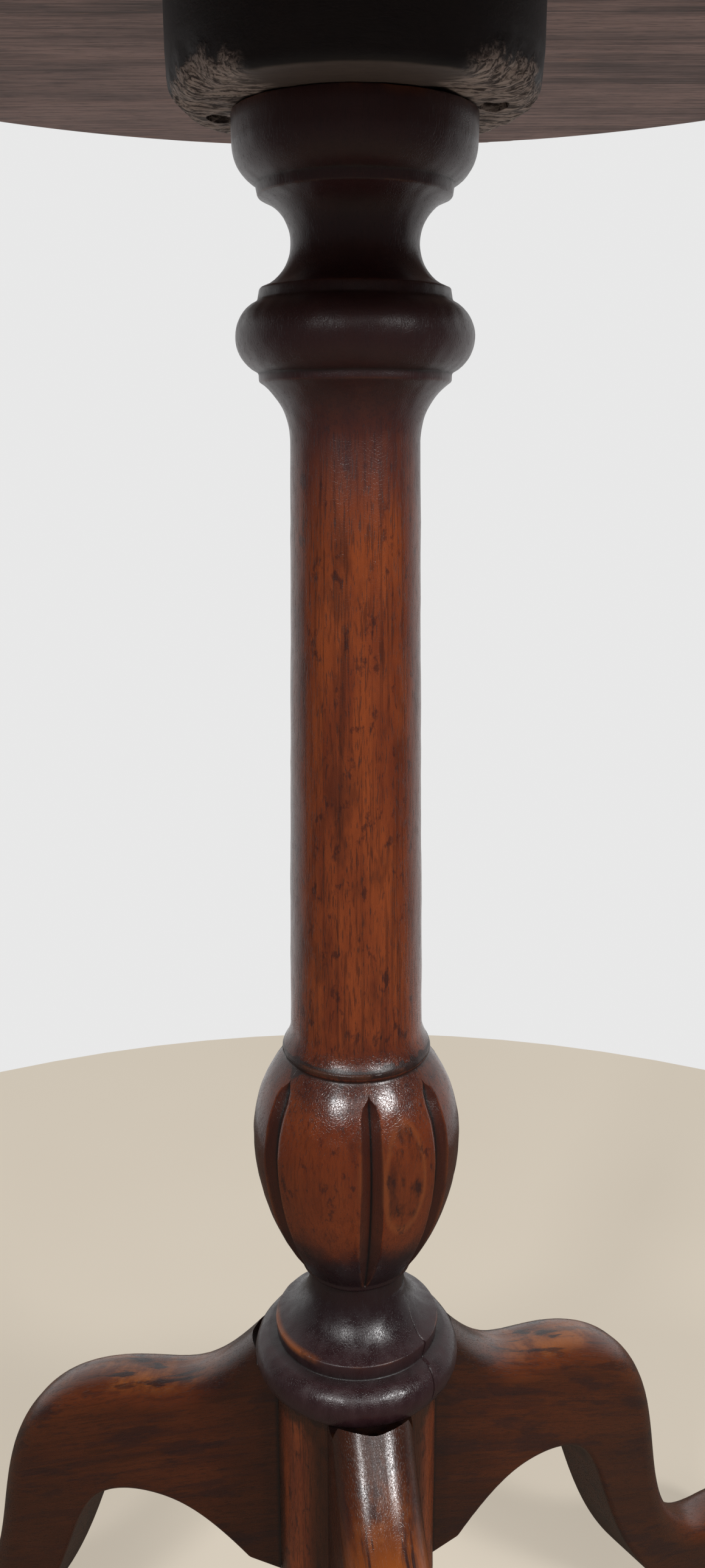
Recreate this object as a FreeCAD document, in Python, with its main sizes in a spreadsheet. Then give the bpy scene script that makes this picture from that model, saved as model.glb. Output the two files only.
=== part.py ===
import FreeCAD
import Part
import Sketcher

import math
import os

# A round wine table on a turned pillar and three cabriole legs, in millimetres.
# The floor is Z = 0, the pillar stands on the Z axis and the front is towards -Y.

SIZES = {
    # Round top, three boards glued edge to edge along X
    "top_radius": 224.0,
    "top_thickness": 16.0,
    "top_edge_round": 5.0,
    "front_joint": 92.0,
    "back_joint": 55.0,
    # Round bearer block under the top, with two counterbored screws
    "block_radius": 44.2,
    "block_thickness": 37.6,
    "block_edge_round": 6.0,
    "screw_circle": 32.6,
    "screw_angle": 171.0,
    "screw_hole_radius": 2.2,
    "screw_pocket_radius": 3.6,
    "screw_pocket_depth": 19.0,
    "screw_head_radius": 3.2,
    "screw_head_height": 2.6,
    "screw_shank_radius": 1.9,
    "screw_bite": 11.0,
    "screw_point": 4.0,
    # Turned pillar, member by member from the drum up to the tenon
    "drum_lift": 117.2,
    "drum_radius": 24.3,
    "drum_height": 80.6,
    "base_ring_height": 14.6,
    "base_ring_swell": 6.5,
    "collar_height": 4.6,
    "collar_radius": 24.7,
    "bell_height": 14.6,
    "bell_neck_radius": 14.3,
    "bell_neck_height": 3.6,
    "bulb_foot_height": 2.6,
    "bulb_foot_radius": 16.4,
    "bulb_foot_swell": 0.9,
    "bulb_lower_height": 42.2,
    "bulb_radius": 30.0,
    "bulb_upper_height": 25.6,
    "bulb_fillet_radius": 20.6,
    "bulb_fillet_height": 3.4,
    "flare_height": 6.5,
    "shaft_foot_radius": 18.7,
    "shaft_height": 158.5,
    "shaft_head_radius": 16.4,
    "cavetto_height": 14.2,
    "ring_fillet_radius": 24.0,
    "lower_fillet_height": 2.0,
    "ring_height": 16.8,
    "ring_swell": 5.5,
    "upper_fillet_height": 2.8,
    "scotia_radius": 23.5,
    "scotia_height": 20.7,
    "scotia_depth": 7.8,
    "cap_fillet_height": 2.5,
    "cap_fillet_radius": 23.9,
    "cup_height": 9.0,
    "cup_radius": 29.4,
    "cup_rim_height": 6.4,
    "tenon_radius": 13.0,
    # Wedge in the saw kerf of the tenon
    "kerf_depth": 24.0,
    "kerf_width": 2.6,
    "kerf_root_width": 1.4,
    "wedge_length": 24.0,
    # Carved flutes of the bulb
    "flute_width": 6.0,
    "flute_depth": 2.4,
    # Cabriole legs, dovetailed into the drum
    "leg_right_angle": 35.5,
    "leg_left_angle": 158.0,
    "leg_front_angle": 279.2,
    "leg_root_thickness": 24.6,
    "leg_toe_thickness": 20.8,
    "leg_standoff": 3.6,
    "leg_hollow_radius": 13.0,
    "leg_reach": 214.0,
    "leg_round": 10.2,
    "leg_arris": 1.6,
    "key_height": 66.0,
    "key_depth": 9.0,
    "key_neck_width": 10.0,
    "key_root_width": 14.0,
    # Clearance of round faces, and how far cutters run past what they cut
    "fit_gap": 0.3,
    "overrun": 5.0,
}

# Each turned member: its height, the radius at its upper end and how its outline goes there.
# Plumb arcs stand upright at one end, swells bulge out of the chord and hollows into it.
MEMBERS = (
    ("drum_height", "drum_radius", "straight", None),
    ("base_ring_height", "drum_radius", "swell", "base_ring_swell"),
    ("collar_height", "collar_radius", "straight", None),
    ("bell_height", "bell_neck_radius", "plumb_top", None),
    ("bell_neck_height", "bell_neck_radius", "straight", None),
    ("bulb_foot_height", "bulb_foot_radius", "swell", "bulb_foot_swell"),
    ("bulb_lower_height", "bulb_radius", "plumb_top", None),
    ("bulb_upper_height", "bulb_fillet_radius", "plumb_foot", None),
    ("bulb_fillet_height", "bulb_fillet_radius", "straight", None),
    ("flare_height", "shaft_foot_radius", "plumb_top", None),
    ("shaft_height", "shaft_head_radius", "straight", None),
    ("cavetto_height", "ring_fillet_radius", "plumb_foot", None),
    ("lower_fillet_height", "ring_fillet_radius", "straight", None),
    ("ring_height", "ring_fillet_radius", "swell", "ring_swell"),
    ("upper_fillet_height", "scotia_radius", "straight", None),
    ("scotia_height", "scotia_radius", "hollow", "scotia_depth"),
    ("cap_fillet_height", "cap_fillet_radius", "straight", None),
    ("cup_height", "cup_radius", "plumb_top", None),
    ("cup_rim_height", "cup_radius", "straight", None),
)

# Control points of the leg's two curves, as shares of the reach past the drum
# and of the drum's top level (upper curve) or its bottom level (under curve).
LEG_TOP_SHARES = (
    (0.97, 0.0), (1.0, 0.06), (1.0, 0.15), (0.9, 0.19), (0.77, 0.197),
    (0.655, 0.295), (0.602, 0.45), (0.577, 0.645), (0.48, 0.802), (0.315, 0.877),
    (0.18, 0.893), (0.075, 0.987), (0.0, 1.088), (-0.05, 1.14),
)
LEG_UNDER_SHARES = (
    (0.055, 1.04), (0.13, 1.125), (0.22, 1.16), (0.375, 1.085), (0.43, 0.815),
    (0.487, 0.59), (0.568, 0.365), (0.673, 0.171), (0.755, 0.0),
)
# Turns of the hand-cut flutes round the bulb, as shares of a full turn from +X,
# and the stations of a flute: share of the bulb's height, share of the full depth.
FLUTE_TURN_SHARES = (-0.227, -0.103, 0.038, 0.18, 0.321, 0.462, 0.603)
FLUTE_DEPTH_SHARES = (
    (0.0, 0.1), (0.1, 0.55), (0.25, 0.95), (0.45, 1.0), (0.7, 0.95), (0.88, 0.8), (0.96, -0.1),
)

LEG_NAMES = ("leg_right", "leg_left", "leg_front")

doc = FreeCAD.newDocument("wine_table")
sheet = doc.addObject("Spreadsheet::Sheet", "sizes")
for row, (name, size) in enumerate(SIZES.items(), start=1):
    sheet.set(f"A{row}", name)
    sheet.set(f"B{row}", str(size))
    sheet.setAlias(f"B{row}", name)
doc.recompute()


def total(names):
    """Expression for the sum of some named sizes."""
    return " + ".join(f"sizes.{name}" for name in names)


PILLAR_TOP = total(["drum_lift"] + [member[0] for member in MEMBERS])
TABLE_UNDERSIDE = f"{PILLAR_TOP} + sizes.block_thickness"
DRUM_TOP = "sizes.drum_lift + sizes.drum_height"
BASE_RING_REACH = "sizes.drum_radius + sizes.base_ring_swell"


def value(expression):
    """The number that an expression gives with the sheet as it stands."""
    return float(sheet.evalExpression(expression))


def size_of(name):
    """One named size, read from the sheet."""
    return float(sheet.get(name))


def bind(item, **expressions):
    """Tie properties of an object to expressions; two underscores stand for a dot."""
    for path, expression in expressions.items():
        item.setExpression(path.replace("__", "."), expression)


def new_body(name):
    return doc.addObject("PartDesign::Body", name)


def plane_sketch(body, role, name, lift=None, turn=None):
    """Empty sketch on one of the body's own planes, lifted or turned on that plane."""
    sketch = body.newObject("Sketcher::SketchObject", name)
    plane = next(item for item in body.Origin.OriginFeatures if item.Role == role)
    sketch.AttachmentSupport = [(plane, "")]
    sketch.MapMode = "FlatFace"
    if lift:
        bind(sketch, AttachmentOffset__Base__z=lift)
    if turn:
        upright = FreeCAD.Rotation(FreeCAD.Vector(0, 0, 1), value(turn))
        sketch.AttachmentOffset = FreeCAD.Placement(FreeCAD.Vector(), upright)
        bind(sketch, AttachmentOffset__Rotation__Angle=turn)
    return sketch


def hold(sketch, kind, *ends, size):
    """Add a dimension to a sketch and tie it to an expression."""
    index = sketch.addConstraint(Sketcher.Constraint(kind, *ends, value(size)))
    sketch.setExpression(f"Constraints[{index}]", size)


def circle(sketch, radius, out=None):
    """Circle on the sketch's origin, or out along its X axis."""
    centre = FreeCAD.Vector(value(out) if out else 0, 0, 0)
    ring = sketch.addGeometry(Part.Circle(centre, FreeCAD.Vector(0, 0, 1), value(radius)))
    if out:
        sketch.addConstraint(Sketcher.Constraint("PointOnObject", ring, 3, -1))
        hold(sketch, "DistanceX", -1, 1, ring, 3, size=out)
    else:
        sketch.addConstraint(Sketcher.Constraint("Coincident", ring, 3, -1, 1))
    hold(sketch, "Radius", ring, size=radius)


def line_loop(sketch, points):
    """Closed loop of straight lines through some points."""
    lines = []
    for start, end in zip(points, points[1:] + points[:1]):
        lines.append(sketch.addGeometry(Part.LineSegment(start, end)))
    for line, following in zip(lines, lines[1:] + lines[:1]):
        sketch.addConstraint(Sketcher.Constraint("Coincident", line, 2, following, 1))
    return lines


def polygon(sketch, corners):
    """Closed outline of straight lines; a corner at None stays on that axis."""
    lines = line_loop(sketch, [
        FreeCAD.Vector(value(x) if x else 0, value(y) if y else 0, 0) for x, y in corners
    ])
    for line, (x, y) in zip(lines, corners):
        if x:
            hold(sketch, "DistanceX", -1, 1, line, 1, size=x)
        else:
            sketch.addConstraint(Sketcher.Constraint("PointOnObject", line, 1, -2))
        if y:
            hold(sketch, "DistanceY", -1, 1, line, 1, size=y)
        else:
            sketch.addConstraint(Sketcher.Constraint("PointOnObject", line, 1, -1))


def tapered_strip(sketch, start, end, start_width, end_width, along_x):
    """Strip that is symmetric about an axis of the sketch and tapers along it."""
    along = [value(start), value(end), value(end), value(start)]
    half_start, half_end = value(start_width) / 2, value(end_width) / 2
    across = [half_start, half_end, -half_end, -half_start]
    lines = line_loop(sketch, [
        FreeCAD.Vector(u, v, 0) if along_x else FreeCAD.Vector(v, u, 0)
        for u, v in zip(along, across)
    ])
    run, width, axis = ("DistanceX", "DistanceY", -1) if along_x else ("DistanceY", "DistanceX", -2)
    sketch.addConstraint(Sketcher.Constraint("Symmetric", lines[0], 1, lines[3], 1, axis))
    sketch.addConstraint(Sketcher.Constraint("Symmetric", lines[1], 1, lines[2], 1, axis))
    hold(sketch, run, -1, 1, lines[0], 1, size=start)
    hold(sketch, run, -1, 1, lines[1], 1, size=end)
    hold(sketch, width, lines[3], 1, lines[0], 1, size=start_width)
    hold(sketch, width, lines[2], 1, lines[1], 1, size=end_width)


def pad(body, name, sketch, length, symmetric=False):
    feature = body.newObject("PartDesign::Pad", name)
    feature.Profile = sketch
    feature.SideType = "Symmetric" if symmetric else "One side"
    bind(feature, Length=length)
    doc.recompute()
    return feature


def pocket(body, name, sketch, length=None, upwards=False, symmetric=False):
    """Cut a sketch out of the body, through all of it where no length is given."""
    before = body.Shape.Volume
    feature = body.newObject("PartDesign::Pocket", name)
    feature.Profile = sketch
    feature.Reversed = upwards
    feature.SideType = "Symmetric" if symmetric else "One side"
    feature.Type = "Length" if length else "ThroughAll"
    if length:
        bind(feature, Length=length)
    doc.recompute()
    if not feature.Shape.Volume < before:
        raise RuntimeError(f"{name} cuts nothing")
    return feature


def revolve(body, name, sketch):
    """Turn a half outline round the sketch's upright axis."""
    feature = body.newObject("PartDesign::Revolution", name)
    feature.Profile = sketch
    feature.ReferenceAxis = (sketch, ["V_Axis"])
    feature.Angle = 360
    doc.recompute()


def polar(body, name, originals, sketch, count):
    feature = body.newObject("PartDesign::PolarPattern", name)
    feature.Originals = originals
    feature.Axis = (sketch, ["N_Axis"])
    feature.Angle = 360
    feature.Occurrences = count
    body.Tip = feature
    doc.recompute()


def round_edges(body, name, radius, wanted):
    """Fillet the edges of the body's last feature for which wanted(edge) holds."""
    base = body.Tip
    names = [f"Edge{i}" for i, edge in enumerate(base.Shape.Edges, start=1) if wanted(edge)]
    feature = body.newObject("PartDesign::Fillet", name)
    feature.Base = (base, names)
    bind(feature, Radius=radius)
    doc.recompute()


def near(number, other):
    return math.isclose(number, other, abs_tol=Part.Precision.confusion() * 100)


def member_arc(start, end, form, size):
    """Centre, radius expression and sense of the arc between two ends of a turned member."""
    height, radius_below, radius_above = size[:3]
    chord = f"(sizes.{height}^2 + (sizes.{radius_above} - sizes.{radius_below})^2)"
    if form in ("swell", "hollow"):
        rise = f"sizes.{size[3]}"
        radius = f"{chord} / (8 * {rise}) + {rise} / 2"
        outward = 1 if form == "swell" else -1
        along = (end - start).normalize()
        normal = FreeCAD.Vector(along.y, -along.x, 0) * outward
        centre = (start + end) / 2 + normal * (value(rise) - value(radius))
        return centre, radius, outward > 0
    radius = f"{chord} / (2 * abs(sizes.{radius_above} - sizes.{radius_below}))"
    upright, other = (end, start) if form == "plumb_top" else (start, end)
    side = math.copysign(1, upright.x - other.x)
    centre = FreeCAD.Vector(upright.x - side * value(radius), upright.y, 0)
    return centre, radius, side > 0


def add_arc(sketch, start, end, centre, counterclockwise):
    """Arc between two points; returns its index and the positions of start and end on it."""
    first, last = (start, end) if counterclockwise else (end, start)
    angles = [math.atan2(p.y - centre.y, p.x - centre.x) for p in (first, last)]
    if angles[1] < angles[0]:
        angles[1] += 2 * math.pi
    ring = Part.Circle(centre, FreeCAD.Vector(0, 0, 1), start.distanceToPoint(centre))
    index = sketch.addGeometry(Part.ArcOfCircle(ring, *angles))
    return (index, 1, 2) if counterclockwise else (index, 2, 1)


def turned_outline(sketch):
    """Half outline of the pillar, from the drum's underside to the tenon's top."""
    place = FreeCAD.Vector(value("sizes.drum_radius"), 0, 0)
    sole = sketch.addGeometry(Part.LineSegment(FreeCAD.Vector(), place))
    sketch.addConstraint(Sketcher.Constraint("Coincident", sole, 1, -1, 1))
    sketch.addConstraint(Sketcher.Constraint("Horizontal", sole))
    hold(sketch, "DistanceX", -1, 1, sole, 2, size="sizes.drum_radius")
    last, radius_below = (sole, 2), "drum_radius"
    for height, radius_above, form, rise in MEMBERS:
        end = FreeCAD.Vector(size_of(radius_above), place.y + size_of(height), 0)
        if form == "straight":
            index, foot, head = sketch.addGeometry(Part.LineSegment(place, end)), 1, 2
        else:
            size = (height, radius_below, radius_above, rise)
            centre, radius, outward = member_arc(place, end, form, size)
            index, foot, head = add_arc(sketch, place, end, centre, outward)
            hold(sketch, "Radius", index, size=radius)
        sketch.addConstraint(Sketcher.Constraint("Coincident", *last, index, foot))
        hold(sketch, "DistanceX", -1, 1, index, head, size=f"sizes.{radius_above}")
        hold(sketch, "DistanceY", *last, index, head, size=f"sizes.{height}")
        place, last, radius_below = end, (index, head), radius_above
    tenon_outline(sketch, place, last)


def tenon_outline(sketch, shoulder, last):
    """Close the pillar's outline over its round tenon and down the axis."""
    length = "sizes.block_thickness - sizes.fit_gap"
    root = FreeCAD.Vector(value("sizes.tenon_radius"), shoulder.y, 0)
    tip = root + FreeCAD.Vector(0, value(length), 0)
    axis_tip = FreeCAD.Vector(0, tip.y, 0)
    corners = [shoulder, root, tip, axis_tip, FreeCAD.Vector()]
    lines = []
    for start, end in zip(corners, corners[1:]):
        lines.append(sketch.addGeometry(Part.LineSegment(start, end)))
        sketch.addConstraint(Sketcher.Constraint("Coincident", *last, lines[-1], 1))
        last = (lines[-1], 2)
    for line, kind in zip(lines, ("Horizontal", "Vertical", "Horizontal")):
        sketch.addConstraint(Sketcher.Constraint(kind, line))
    hold(sketch, "DistanceX", -1, 1, lines[0], 2, size="sizes.tenon_radius")
    hold(sketch, "DistanceY", lines[1], 1, lines[1], 2, size=length)
    sketch.addConstraint(Sketcher.Constraint("PointOnObject", lines[2], 2, -2))
    sketch.addConstraint(Sketcher.Constraint("Coincident", lines[3], 2, -1, 1))


def key_strip(sketch, inner_play):
    """Dovetail outline along X: narrow at the drum's face, wide at its inner end."""
    spread = "(sizes.key_root_width - sizes.key_neck_width) / sizes.key_depth"
    inner = f"sizes.drum_radius - sizes.key_depth - {inner_play}"
    outer = "sizes.drum_radius + sizes.overrun"
    inner_width = f"sizes.key_root_width + {inner_play} * {spread}"
    outer_width = f"sizes.key_neck_width - sizes.overrun * {spread}"
    tapered_strip(sketch, inner, outer, inner_width, outer_width, along_x=True)


def kerf_strip(sketch, play):
    """Section of the saw kerf, wider at the top; play shortens the wedge at its root."""
    top = f"{PILLAR_TOP} - sizes.drum_lift + sizes.block_thickness - sizes.fit_gap"
    spread = "(sizes.kerf_width - sizes.kerf_root_width) / sizes.kerf_depth"
    root_width = f"sizes.kerf_root_width + {play} * {spread}"
    root = f"{top} - sizes.kerf_depth + {play}"
    tapered_strip(sketch, root, top, root_width, "sizes.kerf_width", along_x=False)


def bulb_surface(level):
    """Radius of the uncut bulb at a level above its foot."""
    lower, upper = size_of("bulb_lower_height"), size_of("bulb_upper_height")
    widest = size_of("bulb_radius")
    if level < lower:
        step, height = widest - size_of("bulb_foot_radius"), lower
    else:
        step, height = widest - size_of("bulb_fillet_radius"), upper
    radius = (step ** 2 + height ** 2) / (2 * step)
    return widest - radius + math.sqrt(radius ** 2 - (level - lower) ** 2)


def flute_cutters():
    """V-shaped cutters that run down the bulb from a point on its shoulder."""
    heights = [member[0] for member in MEMBERS]
    foot = value(total(["drum_lift"] + heights[:heights.index("bulb_lower_height")]))
    span = size_of("bulb_lower_height") + size_of("bulb_upper_height")
    root = []
    for height_share, depth_share in FLUTE_DEPTH_SHARES:
        level = height_share * span
        out = bulb_surface(level) - depth_share * size_of("flute_depth")
        root.append(FreeCAD.Vector(out, 0, foot + level))
    outside = size_of("bulb_radius") + size_of("overrun")
    spline = Part.BSplineCurve()
    spline.interpolate(root)
    corners = [
        root[-1],
        FreeCAD.Vector(outside, 0, root[-1].z),
        FreeCAD.Vector(outside, 0, root[0].z),
        root[0],
    ]
    edges = [spline.toShape()]
    edges += [Part.makeLine(start, end) for start, end in zip(corners, corners[1:])]
    face = Part.Face(Part.Wire(edges))
    wall = FreeCAD.Vector(size_of("flute_depth"), size_of("flute_width") / 2, 0) * 2
    other_wall = FreeCAD.Vector(wall.x, -wall.y, 0)
    cutter = face.extrude(wall).fuse(face.extrude(other_wall))
    turned = []
    for share in FLUTE_TURN_SHARES:
        copy = cutter.copy()
        copy.rotate(FreeCAD.Vector(), FreeCAD.Vector(0, 0, 1), 360 * share)
        turned.append(copy)
    feature = doc.addObject("Part::Feature", "flute_cutters")
    feature.Shape = Part.makeCompound(turned)
    return feature


def make_pillar():
    body = new_body("pillar_turning")
    outline = plane_sketch(body, "XZ_Plane", "pillar_outline")
    turned_outline(outline)
    revolve(body, "pillar_revolve", outline)
    for leg in LEG_NAMES:
        socket = plane_sketch(body, "XY_Plane", f"{leg}_socket_outline", turn=f"sizes.{leg}_angle")
        key_strip(socket, "sizes.fit_gap")
        pocket(body, f"{leg}_socket", socket, "sizes.key_height + sizes.fit_gap", upwards=True)
    kerf = plane_sketch(body, "YZ_Plane", "kerf_section")
    kerf_strip(kerf, "0")
    pocket(body, "tenon_kerf", kerf, symmetric=True)
    bind(body, Placement__Base__z="sizes.drum_lift")
    pillar = doc.addObject("Part::Cut", "pillar")
    pillar.Base = body
    pillar.Tool = flute_cutters()
    return pillar


def make_wedge():
    body = new_body("tenon_wedge")
    section = plane_sketch(body, "YZ_Plane", "wedge_section")
    kerf_strip(section, "sizes.fit_gap")
    pad(body, "wedge", section, "sizes.wedge_length", symmetric=True)
    bind(body, Placement__Base__z="sizes.drum_lift")
    return body


def spline_edge(sketch, shares, level):
    """Curve of the leg through control points tied to the reach and a level."""
    reach = "(sizes.leg_reach - sizes.drum_radius)"
    places = [
        (f"sizes.drum_radius + {across} * {reach}", f"{up} * ({level})") for across, up in shares
    ]
    poles = [FreeCAD.Vector(value(x), value(y), 0) for x, y in places]
    curve = Part.BSplineCurve()
    curve.buildFromPoles(poles, False, 3)
    index = sketch.addGeometry(curve)
    sketch.exposeInternalGeometry(index)
    for pole, (x, y) in enumerate(places, start=index + 1):
        hold(sketch, "DistanceX", -1, 1, pole, 3, size=x)
        if shares[pole - index - 1][1]:
            hold(sketch, "DistanceY", -1, 1, pole, 3, size=y)
        else:
            sketch.addConstraint(Sketcher.Constraint("PointOnObject", pole, 3, -1))
    return index, poles


def leg_outline(sketch):
    """Side view of a leg: under curve, sole, upper curve and the end inside the drum."""
    upper, upper_poles = spline_edge(sketch, LEG_TOP_SHARES, DRUM_TOP)
    under, under_poles = spline_edge(sketch, LEG_UNDER_SHARES, "sizes.drum_lift")
    corner = FreeCAD.Vector(upper_poles[-1].x, under_poles[0].y, 0)
    sole = sketch.addGeometry(Part.LineSegment(under_poles[-1], upper_poles[0]))
    end = sketch.addGeometry(Part.LineSegment(upper_poles[-1], corner))
    root = sketch.addGeometry(Part.LineSegment(corner, under_poles[0]))
    for joint in (
        (under, 2, sole, 1), (sole, 2, upper, 1), (upper, 2, end, 1),
        (end, 2, root, 1), (root, 2, under, 1),
    ):
        sketch.addConstraint(Sketcher.Constraint("Coincident", *joint))
    sketch.addConstraint(Sketcher.Constraint("Vertical", end))
    sketch.addConstraint(Sketcher.Constraint("Horizontal", root))


def leg_blank(name):
    """Leg sawn to its side view and planed thinner towards the toe."""
    sawn = new_body(f"{name}_sawn")
    outline = plane_sketch(sawn, "XZ_Plane", f"{name}_outline")
    leg_outline(outline)
    pad(sawn, f"{name}_plank", outline, "sizes.leg_root_thickness + sizes.overrun", symmetric=True)
    planed = new_body(f"{name}_planed")
    plan = plane_sketch(planed, "XY_Plane", f"{name}_plan")
    start, end = "sizes.drum_radius - sizes.key_depth", "sizes.leg_reach + sizes.overrun"
    tapered_strip(plan, start, end, "sizes.leg_root_thickness", "sizes.leg_toe_thickness", along_x=True)
    pad(planed, f"{name}_taper", plan, PILLAR_TOP)
    blank = doc.addObject("Part::Common", f"{name}_blank")
    blank.Base = sawn
    blank.Tool = planed
    doc.recompute()
    return blank


def make_leg(name):
    body = new_body(name)
    body.BaseFeature = leg_blank(name)
    doc.recompute()
    for part_name, radius, upper in (
        (f"{name}_crown", "sizes.leg_round", True), (f"{name}_arris", "sizes.leg_arris", False),
    ):
        round_edges(body, part_name, radius, lambda edge: is_side_curve(edge, upper))
    cope = plane_sketch(body, "XY_Plane", f"{name}_cope")
    circle(cope, "sizes.drum_radius + sizes.fit_gap")
    pocket(body, f"{name}_shoulder", cope, f"{DRUM_TOP} - sizes.fit_gap", upwards=True)
    scribe_leg(body, name)
    key = plane_sketch(body, "XY_Plane", f"{name}_key_outline", lift="sizes.drum_lift")
    key_strip(key, "0")
    pad(body, f"{name}_key", key, "sizes.key_height")
    bind(body, Placement__Rotation__Angle=f"sizes.{name}_angle")
    return body


def scribe_leg(body, name):
    """Cut the leg's upper end round the base ring, hollowed in the middle as with a gouge."""
    hollow_out = f"{BASE_RING_REACH} + sizes.leg_standoff - sizes.leg_hollow_radius"
    for cut, radius, out in (
        ("crest", f"{BASE_RING_REACH} + sizes.fit_gap", None),
        ("hollow", "sizes.leg_hollow_radius", hollow_out),
    ):
        sketch = plane_sketch(
            body, "XY_Plane", f"{name}_{cut}_outline", lift=f"{DRUM_TOP} - sizes.fit_gap"
        )
        circle(sketch, radius, out)
        pocket(body, f"{name}_{cut}", sketch, upwards=True)


def is_side_curve(edge, upper):
    """True for an edge along the upper or the under curve of a leg, on one of its sides."""
    box = edge.BoundBox
    on_side = box.YMin * box.YMax > 0
    curved = min(box.XLength, box.ZLength) > size_of("overrun")
    return on_side and curved and (box.ZMax > value(DRUM_TOP)) == upper


def make_block():
    body = new_body("bearer_block")
    outline = plane_sketch(body, "XY_Plane", "block_outline")
    circle(outline, "sizes.block_radius")
    pad(body, "block_blank", outline, "sizes.block_thickness")
    round_edges(body, "block_rim", "sizes.block_edge_round", lambda edge: near(edge.BoundBox.ZMax, 0))
    mortise = plane_sketch(body, "XY_Plane", "mortise_outline")
    circle(mortise, "sizes.tenon_radius + sizes.fit_gap")
    pocket(body, "mortise", mortise, upwards=True)
    hole = plane_sketch(body, "XY_Plane", "screw_hole_outline", turn="sizes.screw_angle")
    circle(hole, "sizes.screw_hole_radius", "sizes.screw_circle")
    through = pocket(body, "screw_hole", hole, upwards=True)
    mouth = plane_sketch(body, "XY_Plane", "screw_pocket_outline", turn="sizes.screw_angle")
    circle(mouth, "sizes.screw_pocket_radius", "sizes.screw_circle")
    sunk = pocket(body, "screw_pocket", mouth, "sizes.screw_pocket_depth", upwards=True)
    polar(body, "screw_holes", [through, sunk], hole, 2)
    bind(body, Placement__Base__z=PILLAR_TOP)
    return body


def screw_place(item, level, opposite):
    """Put an object over one of the two screw holes at a level."""
    turn = f"(sizes.screw_angle + {180 if opposite else 0}) * 1 deg"
    bind(
        item,
        Placement__Base__x=f"sizes.screw_circle * cos({turn})",
        Placement__Base__y=f"sizes.screw_circle * sin({turn})",
        Placement__Base__z=level,
    )


SHANK_LENGTH = "sizes.block_thickness - sizes.screw_pocket_depth + sizes.screw_bite"


def make_screw(name, opposite):
    """Wood screw with a flat head, a plain shank and a point, head down in its pocket."""
    body = new_body(name)
    outline = plane_sketch(body, "XZ_Plane", f"{name}_outline")
    neck = "sizes.screw_head_height"
    tip = f"{neck} + {SHANK_LENGTH}"
    polygon(outline, (
        (None, None),
        ("sizes.screw_head_radius", None),
        ("sizes.screw_head_radius", neck),
        ("sizes.screw_shank_radius", neck),
        ("sizes.screw_shank_radius", f"{tip} - sizes.screw_point"),
        (None, tip),
    ))
    revolve(body, f"{name}_revolve", outline)
    seat = f"{PILLAR_TOP} + sizes.screw_pocket_depth - sizes.screw_head_height"
    screw_place(body, seat, opposite)
    return body


def make_disc():
    """Whole round top with its rounded rim, before it is parted into boards."""
    body = new_body("top_disc")
    outline = plane_sketch(body, "XY_Plane", "top_outline")
    circle(outline, "sizes.top_radius")
    pad(body, "top_blank", outline, "sizes.top_thickness")
    round_edges(body, "top_rim", "sizes.top_edge_round", lambda edge: edge.Closed)
    bind(body, Placement__Base__z=TABLE_UNDERSIDE)
    return body


def make_board(name, disc, start, width):
    """Part of the disc between two glue lines parallel to X."""
    strip = doc.addObject("Part::Box", f"{name}_strip")
    bind(
        strip,
        Length="2 * sizes.top_radius",
        Width=width,
        Height="sizes.top_thickness",
        Placement__Base__x="-sizes.top_radius",
        Placement__Base__y=start,
        Placement__Base__z=TABLE_UNDERSIDE,
    )
    board = doc.addObject("Part::Common", name)
    board.Base = disc
    board.Tool = strip
    return board


def make_pilot(name, opposite):
    """Hole in the top for the part of a screw that bites into it."""
    pilot = doc.addObject("Part::Cylinder", name)
    bind(
        pilot,
        Radius="sizes.screw_shank_radius + sizes.fit_gap",
        Height="sizes.screw_bite + sizes.fit_gap",
    )
    screw_place(pilot, TABLE_UNDERSIDE, opposite)
    return pilot


def make_top():
    disc = make_disc()
    front = make_board(
        "top_board_front", disc, "-sizes.top_radius", "sizes.top_radius - sizes.front_joint"
    )
    middle = make_board(
        "middle_board_blank", disc, "-sizes.front_joint", "sizes.front_joint + sizes.back_joint"
    )
    back = make_board(
        "top_board_back", disc, "sizes.back_joint", "sizes.top_radius - sizes.back_joint"
    )
    pilots = doc.addObject("Part::MultiFuse", "pilot_holes")
    pilots.Shapes = [make_pilot("pilot_left", False), make_pilot("pilot_right", True)]
    drilled = doc.addObject("Part::Cut", "top_board_middle")
    drilled.Base = middle
    drilled.Tool = pilots
    return [front, drilled, back]


parts = make_top()
parts.append(make_block())
parts.append(make_screw("block_screw_left", False))
parts.append(make_screw("block_screw_right", True))
parts.append(make_pillar())
parts.append(make_wedge())
parts += [make_leg(leg) for leg in LEG_NAMES]
doc.recompute()

for item in doc.Objects:
    if "Invalid" in item.State or "Error" in item.State:
        raise RuntimeError(f"{item.Label} failed: {item.State}")
for part in parts:
    if part.Shape.isNull() or not part.Shape.isValid() or not part.Shape.Solids:
        raise RuntimeError(f"{part.Label} has no valid solid")

os.makedirs("parts", exist_ok=True)
for part in parts:
    part.Shape.exportStep(f"parts/{part.Label}.step")
    box = part.Shape.BoundBox
    print(f"{part.Label}: {len(part.Shape.Solids)} solid, {part.Shape.Volume / 1000:.1f} cm3,", box)
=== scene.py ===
# %% [markdown]
# # A wine table in old mahogany
# The table is a round top of glued boards on a turned pillar and three cabriole legs. The solids come
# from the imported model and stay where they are. This script dresses them: it turns a finer pillar with
# worn arrises, tears the lower edge of the bearer block, cuts real screws and gives every piece of
# wood its own polish, grain and wear.

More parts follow.
